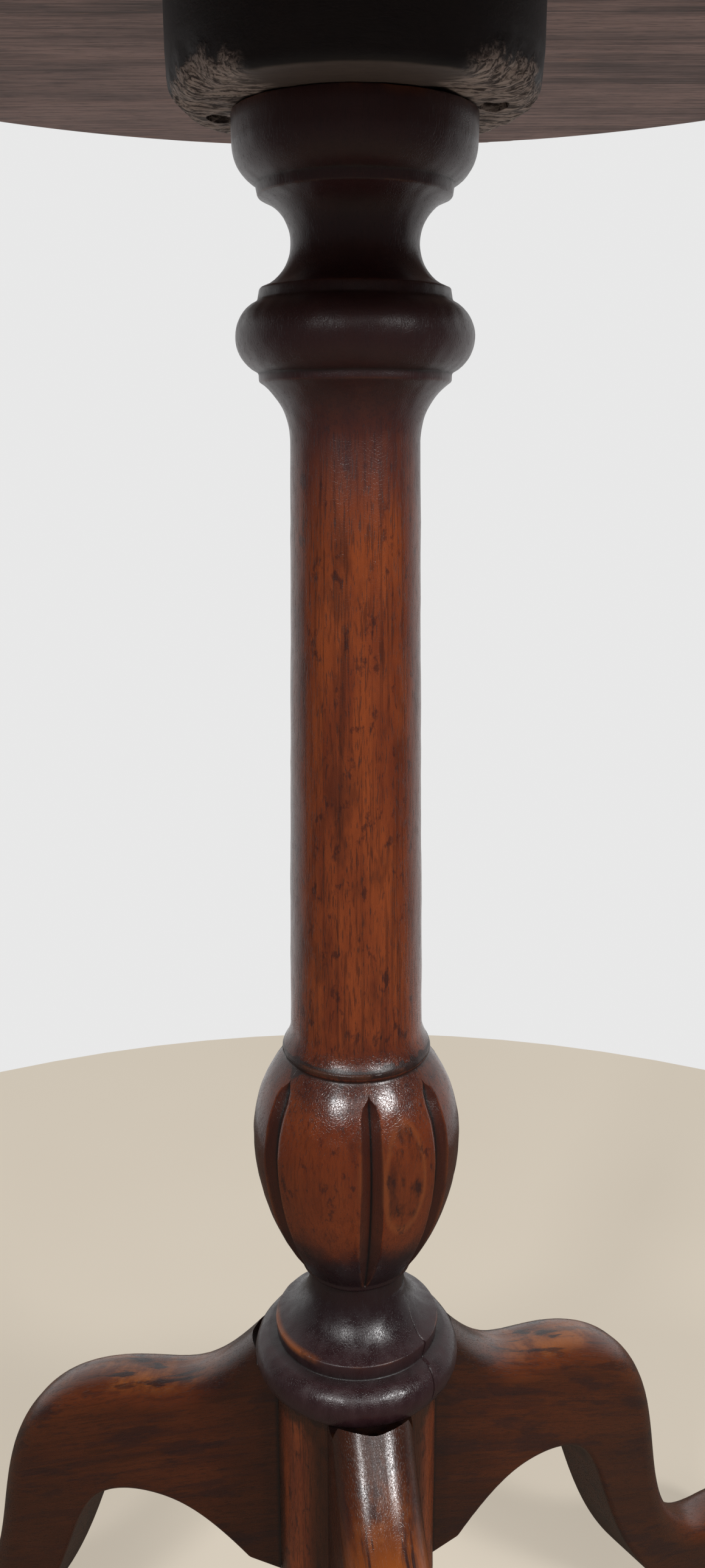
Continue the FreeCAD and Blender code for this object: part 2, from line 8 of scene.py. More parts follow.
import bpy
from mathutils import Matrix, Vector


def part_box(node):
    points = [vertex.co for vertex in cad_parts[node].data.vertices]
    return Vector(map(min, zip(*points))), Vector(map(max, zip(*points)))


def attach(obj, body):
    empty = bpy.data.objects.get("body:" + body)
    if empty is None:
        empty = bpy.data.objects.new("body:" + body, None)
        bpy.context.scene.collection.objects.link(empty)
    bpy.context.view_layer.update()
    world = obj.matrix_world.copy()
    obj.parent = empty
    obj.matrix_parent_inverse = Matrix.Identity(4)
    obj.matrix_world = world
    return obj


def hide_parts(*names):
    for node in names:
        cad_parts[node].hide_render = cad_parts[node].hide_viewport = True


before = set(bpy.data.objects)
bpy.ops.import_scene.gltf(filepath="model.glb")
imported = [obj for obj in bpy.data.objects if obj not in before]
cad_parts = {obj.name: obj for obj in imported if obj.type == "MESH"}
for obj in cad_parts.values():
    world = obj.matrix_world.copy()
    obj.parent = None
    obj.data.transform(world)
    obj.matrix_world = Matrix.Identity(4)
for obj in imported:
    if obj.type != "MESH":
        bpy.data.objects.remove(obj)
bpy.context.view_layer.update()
print("solids:", sorted(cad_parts))

# %% Modules and units
import math

import bmesh
import bpy
from mathutils import Matrix, Vector, noise

MM = 0.001
FULL_TURN = 2 * math.pi
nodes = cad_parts
scene = bpy.context.scene
scene.view_settings.view_transform = "Standard"

# %% [markdown]
# ## Where the camera stands
# A camera can be set by eye, or worked out from ellipses that are known to be level circles. The rings
# of a turned pillar are such circles, so the distance, height and tilt follow from how flat they look.
# The sensor's 36 mm lie along the long side of an upright picture.

# %% Camera
PICTURE_HEIGHT_PIXELS = 2576
FOCAL_LENGTH_PIXELS = 2074
SENSOR_LONG_SIDE = 36.0
CAMERA_DISTANCE = 330 * MM
CAMERA_HEIGHT = 475.2 * MM
CAMERA_SIDE = -0.9 * MM
CAMERA_TILT = math.radians(90 - 15.4)
CAMERA_ROLL = math.radians(-0.12)

camera_data = bpy.data.cameras.new("camera")
camera_data.sensor_width = SENSOR_LONG_SIDE
camera_data.lens = SENSOR_LONG_SIDE * FOCAL_LENGTH_PIXELS / PICTURE_HEIGHT_PIXELS
camera_data.clip_start = MM
camera = bpy.data.objects.new("camera", camera_data)
camera.matrix_world = (
    Matrix.Translation((CAMERA_SIDE, -CAMERA_DISTANCE, CAMERA_HEIGHT))
    @ Matrix.Rotation(CAMERA_TILT, 4, "X")
    @ Matrix.Rotation(CAMERA_ROLL, 4, "Z")
)
scene.collection.objects.link(camera)
scene.camera = camera
print("lens in mm:", round(camera_data.lens, 2))

# %% [markdown]
# ## Light
# Old polish shows itself in its highlights. Two soft windows behind the camera put a pair of highlights
# on every round member below the shade of the top, and a dim curtain between them joins the two. Lamps
# alone would leave the flanks black, so a world fills the rest. It is pale on the far side, whose
# reflection draws thin bright lines along the outlines, and darker on the near side.

# %% Windows and world
WINDOW_RANGE = 1.9
WINDOW_AIM_HEIGHT = 0.36
WINDOWS = {
    "window_left": {"turn": -26, "climb": 30, "wide": 0.26, "high": 0.24, "power": 15.0},
    "curtain_between": {"turn": 10, "climb": 31, "wide": 1.4, "high": 0.4, "power": 4.6},
    "window_right": {"turn": 42, "climb": 30, "wide": 0.31, "high": 0.24, "power": 22.5},
}
WORLD_COLOUR = (0.88, 0.88, 0.88, 1)
WORLD_SEEN = 0.92
FAR_LIGHT = 0.70
NEAR_LIGHT = 0.11
# Where the far side begins and is full, from -1 in front to 1 behind, for light and for mirror rays.
FAR_SIDE_LIT = (0.1, 0.85)
FAR_SIDE_MIRRORED = (0.0, 0.6)


def hang_window(name, turn, climb, wide, high, power):
    """Area lamp at a turn from the camera's side and a climb above the table, facing the pillar."""
    turn, climb = math.radians(turn), math.radians(climb)
    level = math.cos(climb)
    away = Vector((math.sin(turn) * level, -math.cos(turn) * level, math.sin(climb)))
    lamp = bpy.data.lights.new(name, "AREA")
    lamp.shape = "RECTANGLE"
    lamp.size, lamp.size_y, lamp.energy = wide, high, power
    holder = bpy.data.objects.new(name, lamp)
    holder.location = Vector((0, 0, WINDOW_AIM_HEIGHT)) + away * WINDOW_RANGE
    holder.rotation_euler = (-away).to_track_quat("-Z", "Y").to_euler()
    scene.collection.objects.link(holder)


for window, setting in WINDOWS.items():
    hang_window(window, **setting)
world = bpy.data.worlds.new("studio")
world.use_nodes = True
scene.world = world
print("windows:", len(WINDOWS))

# %% [markdown]
# ## A short hand for shader nodes
# Node trees are long to write out. Here one class stands for an output of a node and overloads the
# arithmetic signs, so a mask can be written as a formula, and another adds any node by its type, its
# settings and what goes into its sockets.


# %% Node helpers
class Wire:
    """An output socket; arithmetic with it adds Math nodes."""

    def __init__(self, finish, socket):
        self.finish = finish
        self.socket = socket

    def maths(self, operation, first, second):
        return self.finish.add("Math", {"operation": operation}, {0: first, 1: second})

    def __add__(self, other):
        return self.maths("ADD", self, other)

    def __sub__(self, other):
        return self.maths("SUBTRACT", self, other)

    def __rsub__(self, other):
        return self.maths("SUBTRACT", other, self)

    def __mul__(self, other):
        return self.maths("MULTIPLY", self, other)

    def __truediv__(self, other):
        return self.maths("DIVIDE", self, other)

    def __pow__(self, other):
        return self.maths("POWER", self, other)

    def __abs__(self):
        return self.maths("ABSOLUTE", self, 0.0)

    __radd__ = __add__
    __rmul__ = __mul__

    def over(self, low, high):
        """Smooth step from 0 at low to 1 at high."""
        settings = {"interpolation_type": "SMOOTHSTEP"}
        return self.finish.add("MapRange", settings, {"Value": self, 1: low, 2: high})

    def within(self, centre, half_width):
        """1 at a centre, falling smoothly to 0 at a half width to either side."""
        return 1 - abs(self - centre).over(0.0, half_width)


class Finish:
    """A node tree being built, for a material or a world."""

    def __init__(self, owner):
        owner.use_nodes = True
        self.owner = owner
        self.tree = owner.node_tree
        self.tree.nodes.clear()

    def add(self, kind, settings=None, sockets=None, output=0):
        node = self.tree.nodes.new("ShaderNode" + kind)
        for name, setting in (settings or {}).items():
            setattr(node, name, setting)
        for name, source in (sockets or {}).items():
            if isinstance(source, Wire):
                self.tree.links.new(source.socket, node.inputs[name])
            else:
                node.inputs[name].default_value = source
        return Wire(self, node.outputs[output]) if node.outputs else None

    def mix(self, share, first, second):
        """First colour, with a share of the second one mixed in."""
        return self.add("Mix", {"data_type": "RGBA"}, {0: share, 6: first, 7: second}, output=2)

    def noise(self, place, scale, detail=2.0, rough=0.5, warp=0.0):
        sockets = {
            "Vector": place, "Scale": scale, "Detail": detail, "Roughness": rough, "Distortion": warp,
        }
        return self.add("TexNoise", None, sockets)

    def stretch(self, place, scale):
        """Coordinates squeezed along each axis."""
        return self.add("Mapping", None, {"Vector": place, "Scale": scale})

    def turned(self, place, y=0.0, z=0.0):
        """Coordinates turned about the axes."""
        return self.add("Mapping", None, {"Vector": place, "Rotation": (0, y, z)})

    def part(self, vector, axis):
        return self.add("SeparateXYZ", None, {0: vector}, output=axis)

    def rays(self):
        """Whether a ray comes from the camera, through something clear or off something glossy."""
        kinds = ("Camera", "Transmission", "Glossy")
        return [self.add("LightPath", output=f"Is {kind} Ray") for kind in kinds]

    def attribute(self, name):
        return self.add("Attribute", {"attribute_name": name}, output="Fac")

    def surface(self, colour, roughness, height, depth, **constants):
        """Principled surface with a bump of the given depth in metres."""
        normal = self.add("Bump", None, {"Strength": 1.0, "Distance": depth, "Height": height})
        sockets = {"Base Color": colour, "Roughness": roughness, "Normal": normal, **constants}
        shader = self.add("BsdfPrincipled", None, sockets)
        self.add("OutputMaterial", None, {"Surface": shader})
        return self.owner


def new_finish(name):
    return Finish(bpy.data.materials.new(name))


# %% World
sky = Finish(world)
seen, through, glossy = sky.rays()
far = sky.part(sky.add("TexCoord", output="Generated"), "Y")
light = far.over(*FAR_SIDE_LIT) * (FAR_LIGHT - NEAR_LIGHT) + NEAR_LIGHT
shown = seen + through + glossy * far.over(*FAR_SIDE_MIRRORED)
sky_strength = light + shown * (WORLD_SEEN - light)
backing = sky.add("Background", None, {"Color": WORLD_COLOUR, "Strength": sky_strength})
sky.add("OutputWorld", None, {"Surface": backing})
print("world nodes:", len(sky.tree.nodes))

# %% [markdown]
# ## The floor
# The floor only has to carry the table's shadow and send some light up under the top, so a disc with a
# faint cloudiness is enough. The low light would leave it grey, so for the camera part of its own colour
# is mixed in as a glow. In the polish a pale floor would show as a grey veil over the dark wood, so
# mirror rays see it as if it lay in the shade.

# %% Floor
FLOOR_RADIUS = 0.62
FLOOR_DROP = 0.1 * MM
FLOOR_SEGMENTS = 96
FLOOR_COLOURS = ((0.80, 0.72, 0.60, 1), (0.74, 0.65, 0.53, 1))
FLOOR_SHADE = (0.17, 0.14, 0.11, 1)
FLOOR_GLOW = 0.55


def floor_finish():
    paint = new_finish("pale_floor")
    cloud = paint.noise(paint.add("TexCoord", output="Object"), 3.0, 4.0)
    colour = paint.mix(cloud, *FLOOR_COLOURS)
    matt = paint.add("BsdfPrincipled", None, {"Base Color": colour, "Roughness": 0.7 + 0.1 * cloud})
    glow = paint.add("Emission", None, {"Color": colour})
    seen, through, glossy = paint.rays()
    pale = paint.add("MixShader", None, {0: (seen + through) * FLOOR_GLOW, 1: matt, 2: glow})
    shade = paint.add("BsdfDiffuse", None, {"Color": FLOOR_SHADE})
    both = paint.add("MixShader", None, {0: glossy, 1: pale, 2: shade})
    paint.add("OutputMaterial", None, {"Surface": both})
    return paint.owner


floor_mesh = bpy.data.meshes.new("floor")
disc = bmesh.new()
bmesh.ops.create_circle(
    disc, cap_ends=True, segments=FLOOR_SEGMENTS, radius=FLOOR_RADIUS,
    matrix=Matrix.Translation((0, 0, -FLOOR_DROP)),
)
disc.to_mesh(floor_mesh)
disc.free()
floor = bpy.data.objects.new("floor", floor_mesh)
scene.collection.objects.link(floor)
floor_mesh.materials.append(floor_finish())
print("floor radius:", FLOOR_RADIUS)

# %% [markdown]
# ## The pillar's outline
# A turner works a pillar from a list of members: rings, hollows and fillets, each with a height and a
# radius. The same list makes the outline here: every member is one edge, cut into short lengths whose
# points are then pushed out or in along an arc. The drum ends a hair above the ends of the dovetail keys,
# so that the three joints can be seen from below.

# %% Turned outline
LEG_KEY_SHOW = 0.4
DRUM_LIFT = 117.2 + LEG_KEY_SHOW
GLUE_LINE = 0.3
DRUM_RADIUS = 24.3 + GLUE_LINE
TENON_RADIUS = 13.0
TENON_TOP = 585.7
STRAIGHT, SWELL, HOLLOW, PLUMB_TOP, PLUMB_FOOT = range(5)
# Height, radius at the upper end, form and rise of each member, in millimetres from the drum up.
MEMBERS = {
    "drum": (80.6 - LEG_KEY_SHOW, DRUM_RADIUS, STRAIGHT, 0),
    "base_ring": (14.6, 24.3, SWELL, 6.5),
    "collar": (4.6, 24.7, STRAIGHT, 0),
    "bell": (14.6, 14.3, PLUMB_TOP, 0),
    "bell_neck": (3.6, 14.3, STRAIGHT, 0),
    "bulb_foot": (2.6, 16.4, SWELL, 0.9),
    "bulb_lower": (42.2, 30.0, PLUMB_TOP, 0),
    "bulb_upper": (25.6, 20.6, PLUMB_FOOT, 0),
    "bulb_fillet": (3.4, 20.6, SWELL, 0.6),
    "flare": (6.5, 18.7, PLUMB_TOP, 0),
    "shaft": (158.5, 16.4, STRAIGHT, 0),
    "cavetto": (14.2, 24.0, PLUMB_FOOT, 0),
    "lower_fillet": (2.0, 24.0, STRAIGHT, 0),
    "ring": (16.8, 24.0, SWELL, 5.5),
    "upper_fillet": (2.8, 23.5, STRAIGHT, 0),
    "scotia": (20.7, 23.5, HOLLOW, 7.8),
    "cap_fillet": (2.5, 23.9, STRAIGHT, 0),
    "cup": (9.0, 29.4, PLUMB_TOP, 0),
    "cup_rim": (6.4, 29.4, STRAIGHT, 0),
}
STRAIGHT_SPACING, ROUND_SPACING = 4.0, 0.9

LEVEL = {}
level = DRUM_LIFT
for member, (height, *_) in MEMBERS.items():
    LEVEL[member] = level
    level += height
PILLAR_TOP = level


def arc_offset(form, share, height, step, rise):
    """How far a point of a member lies out from its chord, along the radius or the chord's normal."""
    if form in (SWELL, HOLLOW):
        chord = math.hypot(height, step)
        radius = chord ** 2 / (8 * rise) + rise / 2
        bulge = math.sqrt(radius ** 2 - (chord * (share - 0.5)) ** 2) - (radius - rise)
        return bulge if form == SWELL else -bulge
    radius = (height ** 2 + step ** 2) / (2 * abs(step))
    run = height * (1 - share if form == PLUMB_TOP else share)
    sag = math.copysign(radius - math.sqrt(radius ** 2 - run ** 2), step)
    straight = step * share
    return (step - sag if form == PLUMB_TOP else sag) - straight


def draw_on(shape, last, point):
    """Extrude the end of an outline to a point in millimetres; returns the new end."""
    last = bmesh.ops.extrude_vert_indiv(shape, verts=[last])["verts"][0]
    last.co = Vector(point) * MM
    return last


def add_member(shape, last, radius, member):
    """Extend the outline by one member; returns its upper end."""
    height, upper, form, rise = MEMBERS[member]
    low, step = LEVEL[member], upper - radius
    across_chord = Vector((height, 0, -step)).normalized()
    outward = across_chord if form in (SWELL, HOLLOW) else Vector((1, 0, 0))
    count = max(2, round(height / (STRAIGHT_SPACING if form == STRAIGHT else ROUND_SPACING)))
    for number in range(1, count + 1):
        share = number / count
        point = Vector((radius + step * share, 0, low + height * share))
        if form != STRAIGHT:
            point += outward * arc_offset(form, share, height, step, rise)
        last = draw_on(shape, last, point)
    return last


def turned_outline():
    """Half outline of the pillar in the XZ plane, from axis to axis."""
    shape = bmesh.new()
    last = draw_on(shape, shape.verts.new((0, 0, DRUM_LIFT * MM)), (DRUM_RADIUS, 0, DRUM_LIFT))
    radius = DRUM_RADIUS
    for name, (_, upper, *_) in MEMBERS.items():
        last = add_member(shape, last, radius, name)
        radius = upper
    for out, up in ((TENON_RADIUS, PILLAR_TOP), (TENON_RADIUS, TENON_TOP), (0, TENON_TOP)):
        last = draw_on(shape, last, (out, 0, up))
    return shape


pillar = turned_outline()
print("points of the outline:", len(pillar.verts))

# %% [markdown]
# ## Turning the pillar
# A lathe is a spin. The outline is spun in as many columns as seven flutes need, the poles are closed
# by merging doubles, and the sharp rings are bevelled, because years of dusting leave no crisp arris.

# %% Spin and soften
FLUTE_COUNT = 7
COLUMNS_PER_FLUTE = 42
COLUMNS = FLUTE_COUNT * COLUMNS_PER_FLUTE
ARRIS_ROUND = 0.55 * MM
ARRIS_ANGLE = math.radians(16)
ARRIS_SEGMENTS = 3
MERGE = 0.001 * MM


def lathe(shape, outline, columns, centre=(0, 0, 0)):
    """Spin an outline a full turn about an upright axis and close its poles."""
    bmesh.ops.spin(
        shape, geom=outline, cent=centre, axis=(0, 0, 1), dvec=(0, 0, 0), angle=FULL_TURN, steps=columns,
        use_merge=True, use_duplicate=False,
    )
    bmesh.ops.remove_doubles(shape, verts=shape.verts[:], dist=MERGE)
    bmesh.ops.recalc_face_normals(shape, faces=shape.faces[:])


def is_ring_arris(edge):
    """True for an edge round the pillar where two members meet at an angle."""
    return edge.is_manifold and edge.calc_face_angle() > ARRIS_ANGLE


lathe(pillar, pillar.verts[:] + pillar.edges[:], COLUMNS)
arrises = [edge for edge in pillar.edges if is_ring_arris(edge)]
bmesh.ops.bevel(
    pillar, geom=arrises, offset=ARRIS_ROUND, offset_type="OFFSET", segments=ARRIS_SEGMENTS, profile=0.5,
    affect="EDGES", clamp_overlap=True, material=-1,
)
print("faces after turning:", len(pillar.faces))

# %% [markdown]
# ## Carving the bulb
# The carver cut seven flutes down the bulb by eye, so they stand a little unevenly. A boolean cut would
# leave ragged triangles. Here the columns of the mesh are combed first, so that some run along the root
# and both edges of each flute, and then the columns inside a flute are sunk.

# %% Flutes
FLUTE_TURNS = (-81.7, -37.1, 13.7, 64.8, 115.6, 166.3, 217.1)
FLUTE_WALL_COLUMNS = 6
FLUTE_HALF_WIDTH = 3.3
FLUTE_DEPTH = 2.3
FLUTE_DEPTH_POWER = 0.8
FLUTE_LEAST_SHARE = 0.05
FLUTE_FADE = 1.6
LIP_REACH = 0.45
EVEN_HALF_WIDTH = 360 / COLUMNS * FLUTE_WALL_COLUMNS
# Share of the bulb's height against share of the full width, which the depth follows.
FLUTE_SHARES = (
    (0.0, 0.12), (0.1, 0.55), (0.25, 0.94), (0.4, 1.03),
    (0.7, 0.96), (0.88, 0.84), (0.92, 0.58), (0.952, 0.02),
)
BULB_LOW = LEVEL["bulb_lower"]
BULB_HIGH = LEVEL["bulb_fillet"]


def along(table, place):
    """Value of a table of pairs at a place, straight between its points and level past its ends."""
    if place <= table[0][0]:
        return table[0][1]
    for (low, first), (high, second) in zip(table, table[1:]):
        if place <= high:
            return first + (second - first) * (place - low) / (high - low)
    return table[-1][1]


def comb(column, half_width):
    """Turn of a column, in degrees, when each flute is that many degrees wide to either side."""
    flute, place = divmod(column, COLUMNS_PER_FLUTE)
    start = FLUTE_TURNS[flute]
    end = FLUTE_TURNS[(flute + 1) % FLUTE_COUNT] + (360 if flute == FLUTE_COUNT - 1 else 0)
    stops = (
        (0, start), (FLUTE_WALL_COLUMNS, start + half_width),
        (COLUMNS_PER_FLUTE - FLUTE_WALL_COLUMNS, end - half_width), (COLUMNS_PER_FLUTE, end),
    )
    return along(stops, place)


def carve_flutes(shape):
    """Comb the columns and sink the flutes; vertices keep their column and how they lie to a flute."""
    number = shape.verts.layers.int.new("column")
    flute, lip = (shape.verts.layers.float.new(name) for name in ("flute", "lip"))
    for vert in shape.verts:
        radius = vert.co.xy.length
        column = round(math.atan2(vert.co.y, vert.co.x) / FULL_TURN * COLUMNS) % COLUMNS
        vert[number] = column
        if radius < MERGE:
            continue
        height = vert.co.z / MM
        share = along(FLUTE_SHARES, (height - BULB_LOW) / (BULB_HIGH - BULB_LOW))
        inside = BULB_LOW - FLUTE_FADE < height < BULB_HIGH + FLUTE_FADE
        cut = share > FLUTE_LEAST_SHARE
        width = math.degrees(share * FLUTE_HALF_WIDTH * MM / radius) if inside else EVEN_HALF_WIDTH
        turn = math.radians(comb(column, width))
        if BULB_LOW - MERGE < height < BULB_HIGH:
            place = column % COLUMNS_PER_FLUTE
            from_root = min(place, COLUMNS_PER_FLUTE - place) / FLUTE_WALL_COLUMNS
            vert[flute] = max(0, 1 - from_root) if cut else 0
            vert[lip] = max(0, 1 - abs(from_root - 1) / LIP_REACH) if cut else 0
            radius -= share ** FLUTE_DEPTH_POWER * FLUTE_DEPTH * MM * max(0, 1 - from_root)
        vert.co.x, vert.co.y = radius * math.cos(turn), radius * math.sin(turn)


carve_flutes(pillar)
print("flutes:", FLUTE_COUNT)

# %% [markdown]
# ## The shrinkage crack
# The foot of the pillar has dried and split from the neck of the bell down over the ring. Drawn only in
# the colour, it would vanish from other sides, so one column of the mesh is slid onto the line of the
# crack and sunk between its two neighbours.

# %% Crack
# Height in millimetres against turn from the front in degrees, then against half the gap's width.
CRACK_LINE = (
    (202.6, 45.0), (206.3, 47.5), (210.3, 49.5), (214, 54.5),
    (218, 56), (221.3, 63), (225.6, 74), (229, 84),
)
CRACK_HALF_WIDTHS = ((202.6, 0.1), (205, 0.32), (213, 0.36), (219, 0.3), (229, 0.12))
CRACK_WIDEST = max(half for _, half in CRACK_HALF_WIDTHS)
CRACK_DEPTH = 1.5
CRACK_PULL = 42.0
FRONT = -90.0


def open_crack(shape):
    """Slide a column of vertices onto the crack's line and sink it."""
    number = shape.verts.layers.int["column"]
    low, high = CRACK_LINE[0][0], CRACK_LINE[-1][0]
    rows = [v for v in shape.verts if low <= v.co.z / MM <= high and v.co.xy.length > MERGE]
    middle = math.radians(FRONT + along(CRACK_LINE, (low + high) / 2))
    aim = Vector((math.cos(middle), math.sin(middle)))
    crack_column = max(rows, key=lambda v: v.co.xy.normalized().dot(aim))[number]
    home = math.radians(comb(crack_column, EVEN_HALF_WIDTH))
    for vert in rows:
        height, radius = vert.co.z / MM, vert.co.xy.length
        turn = math.atan2(vert.co.y, vert.co.x)
        target = math.radians(FRONT + along(CRACK_LINE, height))
        off = math.remainder(turn - home, FULL_TURN)
        pull = max(0, 1 - abs(off) / math.radians(CRACK_PULL))
        turn += math.remainder(target - home, FULL_TURN) * pull ** 2 * (3 - 2 * pull)
        step = math.remainder(vert[number] - crack_column, COLUMNS)
        half = along(CRACK_HALF_WIDTHS, height)
        if abs(step) == 1:
            turn = target + step * half * MM / radius
        if step == 0:
            turn = target
            radius -= CRACK_DEPTH * half / CRACK_WIDEST * MM
        vert.co.x, vert.co.y = radius * math.cos(turn), radius * math.sin(turn)
    return len(rows)


print("vertices round the crack:", open_crack(pillar))

# %% [markdown]
# ## Handling, dirt and shade in the hollows
# Hands and dusters wear a turned piece slightly out of round, wax and dirt settle in its hollows, and
# its edges are rubbed through. The wear is a low noise along the normals. The other two are kept as
# attributes of the mesh: how hollow and how sharp the surface is at each vertex, which the polish reads.
# The polish darkens the hollows, partly as dirt and partly as painted shade.

# %% Wear and attributes
WEAR_DEPTH = 0.16 * MM
WEAR_SIZE = 14 * MM
NICK_DEPTH = 0.10 * MM
NICK_SIZE = 3.5 * MM
HOLLOW_REACH = 1.2 * MM
# Sign of the bend and rounds of averaging for each attribute.
BENDS = {"hollow": (1, 5), "edge": (-1, 2)}
SHARP_ANGLE = math.radians(40)


def handle(shape, depth, size):
    """Push vertices in and out along their normals by a soft noise of a given size."""
    shape.normal_update()
    moves = [vert.normal * noise.noise(vert.co / size) * depth for vert in shape.verts]
    for vert, move in zip(shape.verts, moves):
        vert.co += move


def spread(numbers, shape, rounds):
    """Average numbers kept per vertex with those of the neighbours."""
    for _ in range(rounds):
        numbers = [
            (numbers[v.index] + sum(numbers[e.other_vert(v).index] for e in v.link_edges))
            / (1 + len(v.link_edges))
            for v in shape.verts
        ]
    return numbers


def keep_hollows(shape):
    """Write the attributes hollow and edge: how far the surface bends in or out at each vertex."""
    shape.verts.index_update()
    shape.normal_update()
    bends = []
    for vert in shape.verts:
        pulls = [
            vert.normal.dot(e.other_vert(vert).co - vert.co) / e.calc_length() ** 2 for e in vert.link_edges
        ]
        bends.append(sum(pulls) / max(1, len(pulls)) * HOLLOW_REACH)
    for name, (sign, rounds) in BENDS.items():
        layer = shape.verts.layers.float.new(name)
        for vert, bend in zip(shape.verts, spread([max(0, sign * b) for b in bends], shape, rounds)):
            vert[layer] = min(1, bend)


def finish_mesh(shape, name, slot, *stands_for):
    """Make an object of a bmesh, put it on the table's body and hide the solids it stands for."""
    for face in shape.faces:
        face.smooth = True
    for edge in shape.edges:
        edge.smooth = not (edge.is_manifold and edge.calc_face_angle() > SHARP_ANGLE)
    mesh = bpy.data.meshes.new(name)
    shape.to_mesh(mesh)
    shape.free()
    piece = bpy.data.objects.new(name, mesh)
    scene.collection.objects.link(piece)
    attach(piece, "root")
    if stands_for:
        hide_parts(*stands_for)
    print(name, "faces:", len(mesh.polygons))
    return piece


handle(pillar, WEAR_DEPTH, WEAR_SIZE)
handle(pillar, NICK_DEPTH, NICK_SIZE)
keep_hollows(pillar)
pillar_piece = finish_mesh(pillar, "pillar_turned", "pillar_wood", "pillar")

# %% [markdown]
# ## The bearer block
# A thick round of wood joins the pillar to the top. Its grain runs across it, so the saw and the years
# tore fibres out of its lower edge where the end grain comes to the surface, left and right. The block
# is spun, its end grain is roughened with noise, and a boolean then bores the screw pockets.

# %% Block
block_low, block_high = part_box("bearer_block")
BLOCK_RADIUS = block_high.x
BLOCK_EDGE_ALONG, BLOCK_EDGE_ENDS = 2 * MM, 7 * MM
MORTISE_RADIUS = (TENON_RADIUS + GLUE_LINE) * MM
BLOCK_COLUMNS = 320
BLOCK_RING_SPACING = 0.9 * MM
END_GRAIN_FROM, END_GRAIN_FULL = 0.5, 0.8
FIBRE_SQUEEZE = 0.35
TORN_REACH = 12 * MM
TORN_INNER_RADIUS = 20 * MM
TORN_ALONG = 0.12
TORN_SIZES = ((9 * MM, 1.5 * MM), (3.2 * MM, 0.8 * MM), (1.4 * MM, 0.35 * MM))


def block_outline():
    """Closed section of the block right of the axis."""
    shape = bmesh.new()
    low, high = block_low.z, block_high.z
    corners = [
        (MORTISE_RADIUS, low), (BLOCK_RADIUS, low), (BLOCK_RADIUS, high), (MORTISE_RADIUS, high),
    ]
    first = last = shape.verts.new((MORTISE_RADIUS, 0, low))
    for here, there in zip(corners, corners[1:] + corners[:1]):
        count = round(math.dist(here, there) / BLOCK_RING_SPACING)
        for number in range(1, count + 1):
            point = Vector(here).lerp(there, number / count)
            if there == corners[0] and number == count:
                shape.edges.new((last, first))
            else:
                last = draw_on(shape, last, Vector((point.x, 0, point.y)) / MM)
    return shape


def end_grain(place):
    """1 where the block's end grain shows, at its left and right, and 0 at its front and back."""
    across = abs(place.x) / max(place.xy.length, MM)
    return max(0, min(1, (across - END_GRAIN_FROM) / (END_GRAIN_FULL - END_GRAIN_FROM)))


def round_edge(shape):
    """Round the square lower edge, a little along the grain and more at the ends."""
    for vert in shape.verts:
        edge = BLOCK_EDGE_ALONG + (BLOCK_EDGE_ENDS - BLOCK_EDGE_ALONG) * end_grain(vert.co)
        out, corner = vert.co.xy.length, Vector((BLOCK_RADIUS - edge, block_low.z + edge))
        off = Vector((out, vert.co.z)) - corner
        if off.x > 0 > off.y:
            spot = corner + off.normalized() * max(off.x, -off.y)
            vert.co = (vert.co.x * spot.x / out, vert.co.y * spot.x / out, spot.y)


def tear(shape):
    """Pull fibres out of the block's lower edge."""
    shape.normal_update()
    moves = []
    for vert in shape.verts:
        near_edge = max(0, 1 - (vert.co.z - block_low.z) / TORN_REACH)
        if vert.co.xy.length < TORN_INNER_RADIUS:
            near_edge = 0
        fibre = Vector((vert.co.x * FIBRE_SQUEEZE, vert.co.y, vert.co.z))
        sunk = sum(abs(noise.noise(fibre / size)) * depth for size, depth in TORN_SIZES)
        share = TORN_ALONG + (1 - TORN_ALONG) * end_grain(vert.co)
        moves.append(vert.normal * -sunk * near_edge * share)
    for vert, move in zip(shape.verts, moves):
        vert.co += move


block = block_outline()
lathe(block, block.verts[:] + block.edges[:], BLOCK_COLUMNS)
round_edge(block)
tear(block)
print("block faces:", len(block.faces))

# %% Screw pockets
SCREW_NODES = ("block_screw_left", "block_screw_right")
POCKET_RADIUS = 3.6 * MM
POCKET_DEPTH = 19 * MM
HOLE_RADIUS = 2.2 * MM
HOLE_SEGMENTS = 40


def screw_axis(node):
    low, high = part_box(node)
    return (low + high).xy / 2


def pocket_cutter():
    """Stepped cutters for both screw holes."""
    shape = bmesh.new()
    floor_level, top_level = block_low.z - POCKET_RADIUS, block_high.z + POCKET_RADIUS
    seat = block_low.z + POCKET_DEPTH
    steps = (
        (0, floor_level), (POCKET_RADIUS, floor_level), (POCKET_RADIUS, seat),
        (HOLE_RADIUS, seat), (HOLE_RADIUS, top_level), (0, top_level),
    )
    for node in SCREW_NODES:
        x, y = screw_axis(node)
        points = [shape.verts.new((x + out, y, up)) for out, up in steps]
        edges = [shape.edges.new(pair) for pair in zip(points, points[1:])]
        lathe(shape, points + edges, HOLE_SEGMENTS, (x, y, 0))
    return shape


